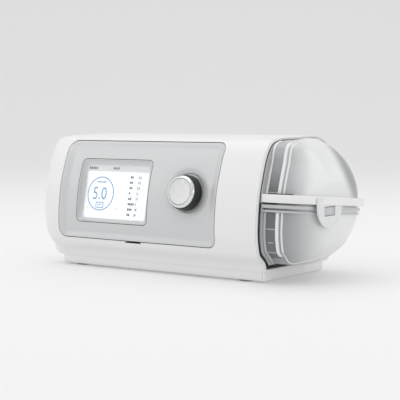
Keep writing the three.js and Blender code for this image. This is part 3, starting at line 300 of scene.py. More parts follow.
def rounded_rectangle(width, height, radius, straight=12, corner=8):
    """Points round a rounded rectangle about its own middle."""
    half_width, half_height = width / 2 - radius, height / 2 - radius
    points = []
    corners = [(1, -1), (1, 1), (-1, 1), (-1, -1)]
    for index, (side, up) in enumerate(corners):
        for step in range(corner + 1):
            turn = (index - 1 + step / corner) * math.pi / 2
            points.append((
                side * half_width + radius * math.cos(turn),
                up * half_height + radius * math.sin(turn),
            ))
        next_side, next_up = corners[(index + 1) % 4]
        turn = index * math.pi / 2
        goal = (
            next_side * half_width + radius * math.cos(turn),
            next_up * half_height + radius * math.sin(turn),
        )
        start = points[-1]
        for step in range(1, straight):
            share = step / straight
            points.append(tuple(a + (b - a) * share for a, b in zip(start, goal)))
    return np.array(points)


def line_through(points, steps=14):
    """A smooth line through points: the centripetal Catmull-Rom curve."""
    points = np.vstack([2 * points[0] - points[1], points, 2 * points[-1] - points[-2]])
    line = []
    for a, b, c, d in zip(points, points[1:], points[2:], points[3:]):
        t1 = np.linalg.norm(b - a) ** 0.5
        t2 = t1 + np.linalg.norm(c - b) ** 0.5
        t3 = t2 + np.linalg.norm(d - c) ** 0.5
        for t in np.linspace(t1, t2, steps, endpoint=False):
            ab = a + (b - a) * t / t1
            bc = b + (c - b) * (t - t1) / (t2 - t1)
            cd = c + (d - c) * (t - t2) / (t3 - t2)
            abc = ab + (bc - ab) * t / t2
            bcd = bc + (cd - bc) * (t - t1) / (t3 - t1)
            line.append(abc + (bcd - abc) * (t - t1) / (t2 - t1))
    return np.array(line + [points[-2]])


def evenly(line, count):
    """A line's points spread evenly along its length."""
    steps = np.linalg.norm(np.diff(line, axis=0), axis=1)
    lengths = np.concatenate([[0], np.cumsum(steps)])
    marks = np.linspace(0, lengths[-1], count)
    return np.stack([np.interp(marks, lengths, column) for column in line.T], 1)


casing_line = evenly(
    line_through(np.array(front_face_shares + rear_face_shares) * (casing_depth, casing_height)), 150,
)
casing_along = np.gradient(casing_line, axis=0)
casing_along /= np.linalg.norm(casing_along, axis=1)[:, None]


def casing_outline(inset):
    """The casing seen along X, as (y, z), moved inwards by a size or by a function of height."""
    depth = inset(casing_line[:, 1]) if callable(inset) else inset
    z = np.maximum(casing_line[:, 1] - casing_along[:, 0] * depth, underside + depth)
    return np.stack([casing_line[:, 0] + casing_along[:, 1] * depth, z], 1)


def casing_ring(x, inset, drawn=0.0):
    """One ring of the casing. Drawn 0 is the full outline, and 1 that of its rounded left end."""
    outline = casing_outline(inset)
    narrow = 1 - drawn * (end_radius - inset) / (casing_depth / 2)
    low, high = underside + drawn * end_foot_draw, casing_height - drawn * end_top_draw
    y = casing_depth / 2 + (outline[:, 0] - casing_depth / 2) * narrow
    z = low + (outline[:, 1] - underside) / (casing_height - underside) * (high - low)
    return np.stack([np.full(len(y), float(x)), y, z], 1)


def end_rings(inset, steps):
    """The rings of the rounded left end, from its flat outside inwards."""
    radius = end_radius - inset
    rings = []
    for turn in np.linspace(math.pi / 2, 0, steps):
        x = -casing_length + inset + radius * (1 - math.sin(turn))
        rings.append(casing_ring(x, inset, 1 - math.cos(turn)))
    return rings


def front_y(z):
    """How far back the casing's front face lies at a height."""
    face = casing_line[:np.argmax(casing_line[:, 1]) // 2 + 20]
    face = face[:np.argmax(face[:, 1]) + 1]
    return np.interp(z, face[:, 1], face[:, 0])


def face_stretch(z):
    """How much further than its depth a place lies along Y, because the face leans."""
    return np.sqrt(1 + (front_y(z + 0.5) - front_y(z - 0.5)) ** 2)


panel_left, panel_right, panel_bottom, panel_top, panel_corner = -225.5, -43.5, 28.4, 119.5, 8
panel_middle = ((panel_left + panel_right) / 2, (panel_bottom + panel_top) / 2)
opening_start, opening_depth = -20.0, 12


def panel_outline(offset, aside=0.0, straight=40):
    """The panel's outline grown by an offset, as (x, z)."""
    return rounded_rectangle(
        panel_right - panel_left + 2 * offset, panel_top - panel_bottom + 2 * offset,
        panel_corner + offset, straight,
    ) + (panel_middle[0] + aside, panel_middle[1])


def panel_opening(offset, aside=0.0):
    """A cutter of the panel's outline, from before the casing to behind its face."""
    x, z = panel_outline(offset, aside).T
    behind = front_y(z) + opening_depth * face_stretch(z)
    return skin("opening", [
        np.stack([x, y, z], 1) for y in (np.full(len(x), opening_start), behind)
    ])


tray_left, tray_right, tray_front, tray_rear = -casing_length + 18, -0.5, 13.9, casing_depth - 7
tray_rim, tray_corner, tray_bottom = 12, 10, 1.6


def slab(x0, x1, y0, y1, z0, z1, corner):
    """An upright prism with rounded corners."""
    outline = rounded_rectangle(x1 - x0, y1 - y0, corner, 6) + ((x0 + x1) / 2, (y0 + y1) / 2)
    return skin("slab", [[(x, y, z) for x, y in outline] for z in (z0, z1)])


# Satin moulded ABS: a clean white with broad, soft highlights. The mould's texture, finer than
# 0.1 mm on a real one, is drawn at 0.45 mm so that it shows.
white_abs = surface(
    "satin_white_abs", 0.45, 0.16, "#E9E9E9", "#ECECEC", (0.3, 0.4), 2.0, depth=0.03, IOR=1.5,
)

outer_rings = end_rings(0, 14) + [casing_ring(x, 0) for x in np.linspace(-225, -1.8, 24)]
lip_rings = [
    casing_ring(x, inset) for x, inset in (
        (-1.35, 0), (-1.3, 0.45), (-0.75, 0.45), (-0.7, 0), (-0.25, 0.05), (-0.05, 0.25), (0, 0.6),
    )
]
inner_rings = [casing_ring(0, casing_wall - 0.5), casing_ring(-0.5, casing_wall)]
inner_rings += [casing_ring(x, casing_wall) for x in (-60, -140, -casing_length + end_radius)]
inner_rings += end_rings(casing_wall, 5)[::-1][1:]
outlet_x, outlet_z = -80, 62
jack_x, jack_z = -146, 30
button_x, button_z = -118, 30
card_x, card_z = -88, 29
filter_left, filter_right, filter_bottom, filter_top = -220, -178, 40, 74
slot_left, slot_right, slot_bottom, slot_top, slot_depth = -145.4, -127, 26.9, 28.7, 9.5
before_front, before_rear, behind_rear = -2, 110, 130
outlet_hole, jack_hole, button_hole, screw_hole = 11.3, 5.8, 5.9, 1.8
card_half_width, card_half_height = 12.3, 1.4
base_hole_right, base_hole_top = -16, 14
screw_places = [
    (x, y) for x in (-190, -72) for y in (tray_front + 6.5, tray_rear - 6.5)
]
casing_mesh = shaped(
    skin("main_housing", outer_rings + lip_rings + inner_rings),
    panel_opening(0.2),
    slab(
        tray_left + tray_rim, base_hole_right, tray_front + tray_rim, tray_rear - tray_rim,
        0, base_hole_top, tray_corner,
    ),
    block(slot_left, slot_right, before_front, slot_depth, slot_bottom, slot_top),
    block(filter_left, filter_right, before_rear, behind_rear, filter_bottom, filter_top),
    round_bar("y", outlet_hole, before_rear, behind_rear, outlet_x, outlet_z),
    round_bar("y", jack_hole, before_rear, behind_rear, jack_x, jack_z),
    round_bar("y", button_hole, before_rear, behind_rear, button_x, button_z),
    block(
        card_x - card_half_width, card_x + card_half_width, before_rear, behind_rear,
        card_z - card_half_height, card_z + card_half_height,
    ),
    *[round_bar("z", screw_hole, 0, base_hole_top, x, y, 16) for x, y in screw_places],
)
main_housing = add_piece("casing_shell", casing_mesh, white_abs, "unit", angle=38, edge=0.2)
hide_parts("main_housing")

# The base. A shallow white ABS tray, set in from the casing all round so that a shadow falls
# over it, on four rubber feet.

tray_seam = -3
tray_rise = [(2.4, tray_bottom), (1.4, 1.8), (0.4, 2.6), (0.0, 3.6), (0.0, 9.5)]
tray_rings = []
for tray_inset, z in tray_rise:
    rings = [
        rounded_rectangle(
            tray_right - tray_left - 2 * tray_inset + spare, tray_rear - tray_front - 2 * tray_inset,
            tray_corner, 8,
        ) + ((tray_left + tray_right + spare) / 2, (tray_front + tray_rear) / 2)
        for spare in (0, tray_corner)
    ]
    tray_rings.append([
        (near[0], near[1], z) if near[1] > casing_depth / 2
        else (min(wide[0], tray_right - tray_inset), wide[1], z) for near, wide in zip(*rings)
    ])
foot_places = [
    (x, y) for x in (tray_left + 22, -26) for y in (tray_front + 11, tray_rear - 11)
]
foot_pocket, foot_pocket_top, screw_head, screw_head_top = 7.3, 3.7, 3.5, 4.2
tray_mesh = shaped(
    skin("base_tray", tray_rings),
    *[round_bar("z", foot_pocket, 0, foot_pocket_top, x, y, 32) for x, y in foot_places],
    block(tray_seam - 0.3, tray_seam + 0.3, 12, tray_front + 0.7, 1, 12),
    *[round_bar("z", screw_head, 0, screw_head_top, x, y, 24) for x, y in screw_places],
    *[round_bar("z", screw_hole, 0, base_hole_top, x, y, 16) for x, y in screw_places],
)
base_tray = add_piece("base_plate", tray_mesh, white_abs, "unit", angle=40)
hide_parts("base_tray")

# Moulded grey rubber is dull and a little mottled, and holds no highlight.
foot_rubber = surface("moulded_grey_rubber", 0.6, 0.4, "#8A8B8D", "#969799", 0.85, IOR=1.52)
for number, (x, y) in enumerate(foot_places, 1):
    foot = add_piece(
        f"rubber_foot_{number}",
        round_bar("z", [(6.2, 0), (6.8, 0.3), (7, 1), (7, 3.4)], 0, 0, x, y), foot_rubber,
        "unit",
    )
    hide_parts(f"foot_{number}")

# The display panel. A silver-grey painted ABS plate, let into the casing. It is flush at its
# edges, falls to a flat middle, and has a shallow round dish behind the knob.

face_lean = math.radians(11)
face_y, face_z = 5.368, 73.2
knob_x, knob_up, knob_height = -77.2, 1.834, 75


def on_face(points):
    """Places on the leaning display face: right, into the machine, and up along the face."""
    x, depth, up = np.asarray(points, float).T
    return np.stack([
        x, face_y + depth * math.cos(face_lean) + up * math.sin(face_lean),
        face_z - depth * math.sin(face_lean) + up * math.cos(face_lean),
    ], 1)


def smooth(value, start, end):
    share = np.clip((value - start) / (end - start), 0, 1)
    return share * share * (3 - 2 * share)


edge_depth, middle_depth, dish_depth, well_depth = 0.4, 3.1, 1.0, 1.2
panel_aside, side_fall, end_fall = -0.25, 9, 7
dish_flat, dish_edge, well_flat, well_edge = 17.5, 23.5, 16.6, 17.6


def panel_depth(x, z):
    """How far the panel's surface lies behind the casing's face."""
    aside = np.minimum(x - panel_left, panel_right - x)
    from_end = np.minimum(z - panel_bottom, panel_top - z)
    fall = smooth(aside, 0, side_fall) * smooth(from_end, 0, end_fall)
    from_knob = np.hypot(x - knob_x, (z - knob_height) / math.cos(face_lean))
    dish = dish_depth * (1 - smooth(from_knob, dish_flat, dish_edge))
    well = well_depth * (1 - smooth(from_knob, well_flat, well_edge))
    return edge_depth + (middle_depth - edge_depth) * fall + dish + well


def panel_y(x, z):
    return front_y(z) + panel_depth(x, z) * face_stretch(z)


def plate_over(name, xs, zs, surface, thickness):
    """A plate whose front follows a surface over a grid."""
    grid_x, grid_z = np.meshgrid(xs, zs)
    front = np.stack([grid_x, surface(grid_x, grid_z), grid_z], 2)
    back = front + (0, thickness, 0)
    rows, columns = grid_x.shape
    points = np.vstack([front.reshape(-1, 3), back.reshape(-1, 3)])
    faces = []
    behind = rows * columns
    for r in range(rows - 1):
        for c in range(columns - 1):
            a = r * columns + c
            quad = (a, a + 1, a + columns + 1, a + columns)
            faces.append(quad)
            faces.append(tuple(i + behind for i in quad[::-1]))
    rim = (
        [c for c in range(columns)] + [r * columns + columns - 1 for r in range(1, rows)]
        + [(rows - 1) * columns + c for c in range(columns - 2, -1, -1)]
        + [r * columns for r in range(rows - 2, 0, -1)]
    )
    for a, b in zip(rim, rim[1:] + rim[:1]):
        faces.append((a, a + behind, b + behind, b))
    return mesh_of(name, points, faces)


screen_x, screen_width, screen_height, screen_corner = -163.1, 85.4, 60.4, 5.2


def face_frame_ring(width, height, radius, depth, straight=14):
    outline = rounded_rectangle(width, height, radius, straight)
    return on_face([(screen_x + x, depth, up) for x, up in outline])


panel_mesh = plate_over(
    "front_panel", np.linspace(panel_left - 1, panel_right + 1, 150),
    np.linspace(panel_bottom - 1, panel_top + 1, 84), panel_y, 2.3,
)
panel_mesh = shaped(panel_mesh, panel_opening(-0.5, panel_aside), operation="INTERSECT")
opening_end, bushing_hole, bushing_depths = 40.0, 4.9, (-4, 8)
screen_edge = face_frame_ring(screen_width, screen_height, screen_corner, 0)
panel_mesh = shaped(
    panel_mesh,
    skin("opening", [
        np.stack([screen_edge[:, 0], np.full(len(screen_edge), y), screen_edge[:, 2]], 1)
        for y in (opening_start, opening_end)
    ]),
    skin("bushing", [
        on_face([
            (knob_x + bushing_hole * math.cos(turn), depth, knob_up + bushing_hole * math.sin(turn))
            for turn in np.linspace(0, 2 * math.pi, 48, endpoint=False)
        ]) for depth in bushing_depths
    ]),
)
# Silver-grey paint: its flakes give a broad sheen that turns with the surface, and no mirror. They
# are about 0.03 mm across, and are drawn at 0.25 mm so that they show.
silver_paint = surface(
    "silver_grey_paint", 0.25, 0.12, "#CBCCCD", "#D4D5D6", (0.34, 0.46), 2.0, depth=0.03,
    Metallic=0.2,
)
front_panel = add_piece("display_panel", panel_mesh, silver_paint, "unit", angle=40, edge=0.3)
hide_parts("front_panel")
# Dark strips in the face's seams are painted shadow, for the shade in each seam's narrow gap.
# Dull and dark, so a seam reads as a thin soft line.
seam_shadow_material = surface("painted_seam_shadow", 0.5, 0.5, "#4A4B4D", "#58595B", 0.95)


def add_seam_shadow(name, outlines, depths):
    """A dark strip of painted shadow in a seam of the face, between two outlines of (x, z)."""
    rings = []
    for (x, z), depth in zip(
        [outline.T for outline in (outlines[0], outlines[1], outlines[1], outlines[0])],
        (depths[0], depths[0], depths[1], depths[1]),
    ):
        rings.append(np.stack([x, panel_y(x, z) + depth, z], 1))
    piece = add_piece(name, skin(name, rings, closed=True), seam_shadow_material, "unit")


# Painted shadow round the panel's seam.
add_seam_shadow("panel_seam_shadow", [panel_outline(0.15), panel_outline(-0.7)], (0.45, 1.4))

# The screen. A frame in the panel's colour whose walls curve down to the glass, a clear window
# and the lit display below it.

opening_back = (75.04, 50.56, 1.6)
frame_outside, frame_bed, glass_outside = (84.4, 59.4, 4.7), (81.2, 56.7, 0.8), (80.4, 55.9, 0.8)
frame_back, bed_depth = 9, 5.5


def at_panel(ring, lift):
    """A ring's points moved along Y to the panel's surface, less a lift."""
    ring = np.array(ring)
    ring[:, 1] = panel_y(ring[:, 0], ring[:, 2]) - lift
    return ring


frame_rings = [
    face_frame_ring(*frame_outside, frame_back),
    at_panel(face_frame_ring(*frame_outside, 0), -0.3),
    at_panel(face_frame_ring(84.0, 59.0, 4.5, 0), 0.0),
    at_panel(face_frame_ring(83.0, 58.0, 4.2, 0), 0.0),
]
wall_start = at_panel(face_frame_ring(82.4, 57.4, 4.0, 0), -0.4)
wall_end = face_frame_ring(*opening_back, 5.3)
for step in range(9):
    turn = step / 8 * math.pi / 2
    share_in, share_down = 1 - math.cos(turn), math.sin(turn)
    frame_rings.append(np.stack([
        wall_start[:, 0] + (wall_end[:, 0] - wall_start[:, 0]) * share_in,
        wall_start[:, 1] + (wall_end[:, 1] - wall_start[:, 1]) * share_down,
        wall_start[:, 2] + (wall_end[:, 2] - wall_start[:, 2]) * share_in,
    ], 1))
frame_rings += [
    face_frame_ring(*opening_back, bed_depth), face_frame_ring(*frame_bed, bed_depth),
    face_frame_ring(*frame_bed, frame_back),
]
screen_bezel = add_piece(
    "screen_frame", skin("screen_frame", frame_rings, closed=True), silver_paint, "unit", angle=40,
)
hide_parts("screen_bezel")

screen_seam = [face_frame_ring(w, h, r, 0)[:, [0, 2]] for w, h, r in (
    (85.3, 60.3, 5.1), (84.0, 59.0, 4.6),
)]
# Painted shadow round the screen frame's seam.
add_seam_shadow("screen_seam_shadow", screen_seam, (0.12, 1.3))

# Coated glass is clear and nearly without reflections. The coating lowers them, and an IOR of 1.3
# in place of 1.5 stands for it.
glass = surface(
    "coated_display_glass", 8, 0.02, "#FFFFFF", None, (0.03, 0.08), IOR=1.3, Transmission_Weight=1.0,
)
window = add_piece("screen_glass", skin("display_window", [
    face_frame_ring(80.0, 55.5, 0.6, 5.62), face_frame_ring(*glass_outside, 5.8),
    face_frame_ring(*glass_outside, 6.6),
]), glass, "unit")
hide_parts("display_window")


def lit(name, sheet_hex, strength):
    """A lit area of the display. It glows in one flat colour, with a faint gloss on top."""
    return surface(
        name, 30, 0.01, sheet_hex, None, 0.3, Emission_Color=colour(sheet_hex),
        Emission_Strength=strength,
    )


# The lit display: a cool white sheet, with pale grey, ink grey and blue marks that glow less.
display_white = lit("lit_display_white", "#F1F4F6", 0.5)
display_grey = lit("lit_display_pale_grey", "#D2D4D6", 0.44)
display_ink = lit("lit_display_ink_grey", "#4E555C", 0.2)
display_blue = lit("lit_display_blue", "#4A86B5", 0.5)
module = add_piece("lit_display", skin("lcd_module", [
    face_frame_ring(*glass_outside, 6.95), face_frame_ring(*glass_outside, 10.2),
]), display_white, "unit")
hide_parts("lcd_module")

picture_level, picture_lift = 6.86, 0.04


def picture_piece(name, outlines, material):
    """Thin shapes of the picture, each a closed outline of (right, up) from the screen's middle."""
    points, faces = [], []
    for outline in outlines:
        start, count = len(points), len(outline)
        for depth in (picture_level, picture_level + picture_lift):
            points += [(screen_x + x, depth, up) for x, up in outline]
        faces.append(tuple(range(start, start + count)))
        faces.append(tuple(range(start + 2 * count - 1, start + count - 1, -1)))
        for i in range(count):
            a, b = start + i, start + (i + 1) % count
            faces.append((a, a + count, b + count, b))
    piece = add_piece(name, mesh_of(name, on_face(points), faces), material, "unit")
    return piece


def bar(x0, x1, up0, up1):
    return [(x0, up0), (x1, up0), (x1, up1), (x0, up1)]


def picture_ring(name, x, up, inner, outer, material, sides=96):
    turns = np.linspace(0, 2 * math.pi, sides, endpoint=False)
    rings = [
        on_face([
            (screen_x + x + radius * math.cos(t), depth, up + radius * math.sin(t)) for t in turns
        ]) for radius, depth in (
            (inner, picture_level), (outer, picture_level),
            (outer, picture_level + picture_lift), (inner, picture_level + picture_lift),
        )
    ]
    piece = add_piece(name, skin(name, rings, closed=True), material, "unit")


def number_piece(name, numbers, material, thin=0.0):
    """Plain numbers in Blender's own type, each (text, right, up, height) by its lower left."""
    points, faces = [], []
    for words, x, up, height in numbers:
        type_data = bpy.data.curves.new(name, "FONT")
        type_data.body, type_data.offset, type_data.resolution_u = words, -thin, 4
        type_data.extrude = 0.1
        type_object = bpy.data.objects.new(name, type_data)
        raised = bpy.data.meshes.new_from_object(type_object)
        places = np.array([tuple(v.co) for v in raised.vertices])
        low, high = places.min(0), places.max(0)
        scale = height / (high[1] - low[1])
        start = len(points)
        points += [
            (
                screen_x + x + (a - low[0]) * scale * 0.86,
                picture_level + (high[2] - c) / (high[2] - low[2]) * picture_lift,
                up + (b - low[1]) * scale,
            ) for a, b, c in places
        ]
        faces += [tuple(start + i for i in face.vertices) for face in raised.polygons]
        bpy.data.objects.remove(type_object)
    piece = add_piece(name, mesh_of(name, on_face(points), faces), material, "unit")


dial_x, dial_up, dial_radius = -19.1, -1.8, 15.6
picture_piece("picture_header", [bar(-37.5, 37.5, 19.2, 25.2)], display_grey)
picture_ring("picture_dial", dial_x, dial_up, dial_radius - 0.45, dial_radius + 0.45, display_blue)
number_piece("picture_number", [("5.0", -28.2, -7.3, 11.6)], display_blue, 0.006)
label_strokes = [bar(-24.4 + i * 1.9, -23.2 + i * 1.9, 8.5, 10.0) for i in range(6)]
icon = [
    bar(-23.6, -14.4, -10.5, -9.8), bar(-23.6, -14.4, -15.2, -14.5), bar(-23.6, -22.9, -14.6, -10.4),
    bar(-15.1, -14.4, -14.6, -10.4), bar(-21.6, -16.6, -12.8, -12.1),
]
picture_piece("picture_dial_marks", label_strokes + icon, display_blue)
header_strokes = [bar(-36.2 + i * 2.1, -34.8 + i * 2.1, 21.0, 23.4) for i in range(5)]
header_strokes += [bar(-6.9 + i * 2.0, -5.5 + i * 2.0, 21.1, 23.3) for i in range(4)]
picture_piece("picture_header_marks", header_strokes, display_ink)
row_values = ["0.0", "0.0", "0.0", "12", "10", "0", "00", "00"]
row_ups = [13.6 - row * 4.98 for row in range(8)]
number_piece("picture_values", [
    (value, 24.6 - row * 0.2, up - 0.2, 2.4) for row, (value, up) in enumerate(zip(row_values, row_ups))
], display_ink, -0.015)
picture_piece("picture_labels", [
    bar(15.0 + i * 1.9, 16.4 + i * 1.9, up - 0.1, up + 2.0)
    for row, up in enumerate(row_ups) for i in range((2, 2, 2, 1, 2, 4, 3, 2)[row])
], display_ink)
picture_piece("picture_rules", [
    bar(13.2, 34.4, up - 1.7, up - 1.35) for up in row_ups[:7]
] + [bar(13.0, 13.25, -21.4, 16.6)], display_grey)
picture_piece("picture_corner_marks", [
    bar(-34.4, -33.2, -16.2, -13.8), bar(0.6, 1.4, -16.4, -14.4), bar(2.0, 3.4, -16.4, -14.8),
], display_grey)

# The knob. A black polycarbonate grip with a polished ring and a finely brushed disc let into its
# face, on the encoder's shaft.


def turned_on_face(name, profile, closed=False, sides=96):
    """A turned form about the knob's axis, from (radius, depth) pairs."""
    turns = np.linspace(0, 2 * math.pi, sides, endpoint=False)
    return skin(name, [
        on_face([
            (knob_x + radius * math.cos(turn), depth, knob_up + radius * math.sin(turn))
            for turn in turns
        ]) for radius, depth in profile
    ], closed)


# Satin black polycarbonate: near black, with a soft grey light along its turned side.
black_plastic = surface(
    "satin_black_polycarbonate", 0.4, 0.2, "#08090A", "#0D0E0F", (0.4, 0.55), depth=0.03, IOR=1.58,
)
# Polished chrome plating is almost a mirror, so the ring shows the bright room and thin dark lines.
chrome = surface(
    "polished_chrome_plating", 3, 0.02, "#E4E6E8", None, (0.1, 0.16), Metallic=1.0,
)
# Brushed aluminium under clear lacquer: fine upright streaks in a pale, even sheen. The streaks,
# near 0.1 mm apart, are drawn at 0.7 mm so that they show.
brushed = surface(
    "brushed_aluminium_disc", 0.7, 0.4, "#CBCCCC", "#EBEBEB", (0.28, 0.4), 1.0, (1, 1, 0.06), 0.03,
    Metallic=0.35,
)
grip = add_piece("grip_body", turned_on_face("knob_grip", [
    (3.4, -3.5), (3.4, 1.2), (14.9, 1.2), (15.6, 1.0), (15.9, 0.4), (15.4, -6.6), (15.2, -7.2),
    (14.9, -7.6), (14.6, -7.7), (3.0, -7.7), (3.0, -3.5),
], True), black_plastic, "knob", angle=50)
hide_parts("knob_grip")
ring = add_piece("grip_ring", turned_on_face("knob_ring", [
    (14.1, -7.9), (14.4, -8.0), (14.5, -8.5), (14.3, -9.3), (13.9, -9.9), (13.3, -10.5),
    (12.6, -10.9), (12.2, -10.9), (12.0, -10.6), (12.0, -7.9),
], True), chrome, "knob", angle=50)
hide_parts("knob_ring")
disc = add_piece("grip_disc", turned_on_face("knob_disc", [
    (11.6, -8.95), (11.7, -10.3), (11.5, -10.7), (11.1, -10.85), (10.9, -10.8), (4, -10.85),
]), brushed, "knob", angle=50)
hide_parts("knob_disc")

# The water chamber. A clear polycarbonate dome and bowl, frosted inside: a straight neck that
# runs into the casing, then a rounded nose. They part at a rim that leans down to the back.

neck_inset, neck_top_inset, neck_shoulder, inside_length, chamber_wall = 7.5, 2.4, 104, 49, 2
neck_front_end, neck_rear_start, neck_rear_end = 20.8, 2, 16
floor_z, nose_y, nose_half, nose_start, nose_length, nose_floor, nose_top = (
    17, 62, 55, 8.3, 34.8, 12.8, 124.3,
)
dome_foot, bowl_top, rim_front, rim_tilt, lid_start = 71.7, 64.4, 70.6, math.radians(4.5), 2
plan_power, dome_power, bowl_power = 3.7, 1.83, 2.04
neck_z = (dome_foot + bowl_top) / 2
chamber_angles = np.linspace(0, 2 * math.pi, 180, endpoint=False)


def neck_reach(inset):
    """How far the neck's skin lies from its middle, at each angle."""
    def inset_at(z):
        return neck_inset + (neck_top_inset - neck_inset) * smooth(z, neck_shoulder, nose_top) + inset

    outline = casing_outline(inset_at)
    outline[:, 1] = np.maximum(outline[:, 1], floor_z + inset)
    start, end = outline, np.roll(outline, -1, axis=0)
    ay, az = start[:, 0] - nose_y, start[:, 1] - neck_z
    ey, ez = (end - start).T
    reaches = []
    for angle in chamber_angles:
        dy, dz = math.cos(angle), math.sin(angle)
        cross = dy * ez - dz * ey
        cross[np.abs(cross) < 1e-9] = 1e-9
        along = (ay * ez - az * ey) / cross
        part = (ay * dz - az * dy) / cross
        reaches.append(along[(part >= -1e-4) & (part <= 1 + 1e-4) & (along > 0)].max())
    return np.array(reaches)


def nose_share(x, inset):
    """How far along the nose a place lies, from 0 at its start to 1 at its tip."""
    return min(max(x - nose_start, 0) / (nose_length - inset), 1)


def nose_reach(x, inset):
    low, high = np.zeros(len(chamber_angles)), np.full(len(chamber_angles), casing_depth * 1.0)
    along = nose_share(x, inset)
    for _ in range(40):
        middle = (low + high) / 2
        y = nose_y + middle * np.cos(chamber_angles)
        z = neck_z + middle * np.sin(chamber_angles)
        above = z > dome_foot
        height = np.where(
            above, (z - dome_foot) / (nose_top - inset - dome_foot),
            (bowl_top - z) / (bowl_top - nose_floor - inset),
        )
        power = np.where(above, dome_power, bowl_power)
        height = np.clip(height, 0, 1)
        size = (1 - height ** power) ** (1 / power)
        across = np.abs(y - nose_y) / (nose_half - inset)
        inside = (along ** plan_power + across ** plan_power) ** (1 / plan_power) < size
        low, high = np.where(inside, middle, low), np.where(inside, high, middle)
    return low


def chamber_ring(x, reach):
    return np.stack([
        np.full(len(chamber_angles), float(x)), nose_y + reach * np.cos(chamber_angles),
        neck_z + reach * np.sin(chamber_angles),
    ], 1)


front_side = smooth(chamber_angles, math.radians(98), math.radians(128)) * (
    1 - smooth(chamber_angles, math.radians(236), math.radians(264))
)


def chamber_reach(x, inset, neck):
    """The chamber's skin from its middle at a place along X. Behind, the neck soon turns into the
    nose. In front it runs straight to its last rib, and only then tapers."""
    taper = (1 - nose_share(x, inset) ** plan_power) ** (1 / plan_power)
    behind = smooth(x, neck_rear_start, neck_rear_end)
    ahead = smooth(x, neck_front_end, nose_start + nose_length)
    share = behind + (ahead - behind) * front_side
    straight = neck * (1 + (taper - 1) * front_side * (x > neck_front_end))
    return straight + (nose_reach(x, inset) - straight) * share


def chamber_skin(name, inset, start, tip=0.9995):
    neck = neck_reach(inset)
    places = [start] + list(np.linspace(max(start, lid_start) + 0.01, neck_front_end, 14))
    length = nose_length - inset
    first, last = math.asin((neck_front_end - nose_start) / length), math.asin(tip)
    places += [nose_start + length * math.sin(turn) for turn in np.linspace(first, last, 30)[1:]]
    return skin(name, [chamber_ring(x, chamber_reach(x, inset, neck)) for x in places])


neck_line = neck_reach(0)
facing = (chamber_angles > math.pi / 2) & (chamber_angles < 3 * math.pi / 2)
neck_heights = neck_z + (neck_line * np.sin(chamber_angles))[facing]
neck_fronts = nose_y + (neck_line * np.cos(chamber_angles))[facing]
neck_order = np.argsort(neck_heights)
neck_heights, neck_fronts = neck_heights[neck_order], neck_fronts[neck_order]


def neck_front(z):
    """How far back the neck's front face lies at a height."""
    return np.interp(z, neck_heights, neck_fronts)


def rim_z(y, lift=0.0):
    return rim_front - y * math.tan(rim_tilt) + lift / math.cos(rim_tilt)


def beyond_rim(lift, up):
    """A large block above or below the rim's plane."""
    far = 400
    edge = [(y, rim_z(y, lift)) for y in (-far, far)]
    other = far if up else -far
    section = [edge[0], edge[1], (far, other), (-far, other)]
    return skin("half", [[(x, y, z) for y, z in section] for x in (-far, far)])


def nose_plan(offset, start, steps=90):
    """The nose's outline seen from above, grown by an offset, open at its left."""
    half, length = nose_half + offset, nose_length + offset
    turns = np.linspace(-math.pi / 2, math.pi / 2, steps + 1)
    along = np.abs(np.cos(turns)) ** (2 / plan_power)
    across = np.sign(np.sin(turns)) * np.abs(np.sin(turns)) ** (2 / plan_power)
    x = nose_start + length * along
    y = nose_y + half * across
    return np.vstack([[start, y[0]], np.stack([x, y], 1), [start, y[-1]]])


def rim_bar(name, start, section):
    """A bar that runs round the nose at the rim, from (offset, lift) pairs round its section."""
    lines = [nose_plan(offset, start) for offset, _ in section]
    count = len(lines[0])
    points = [
        (x, y, rim_z(y, lift)) for line, (_, lift) in zip(lines, section) for x, y in line
    ]
    faces = []
    for s in range(len(section)):
        a, b = s * count, (s + 1) % len(section) * count
        faces += [(a + i, a + i + 1, b + i + 1, b + i) for i in range(count - 1)]
    faces.append(tuple(s * count for s in range(len(section))))
    faces.append(tuple(s * count + count - 1 for s in range(len(section)))[::-1])
    return mesh_of(name, points, faces)


def polycarbonate(name, dark, light, transmission, rough, **more):
    """Moulded polycarbonate: the frosting, finer than 0.1 mm, is drawn at 0.35 mm so that it
    shows. It softens what lies behind and spreads each highlight."""
    return surface(
        name, 0.35, 0.15, dark, light, rough, 2.0, depth=0.04, IOR=1.58,
        Transmission_Weight=transmission, **more,
    )


frost_and_shade_way, rear_shade_way = (1, 0.8, 0), (0.9, 1, 0.6)


def along_way(way, distance):
    """Millimetres along a direction, in the frame's metres."""
    return distance * mm + float(machine_origin @ way)


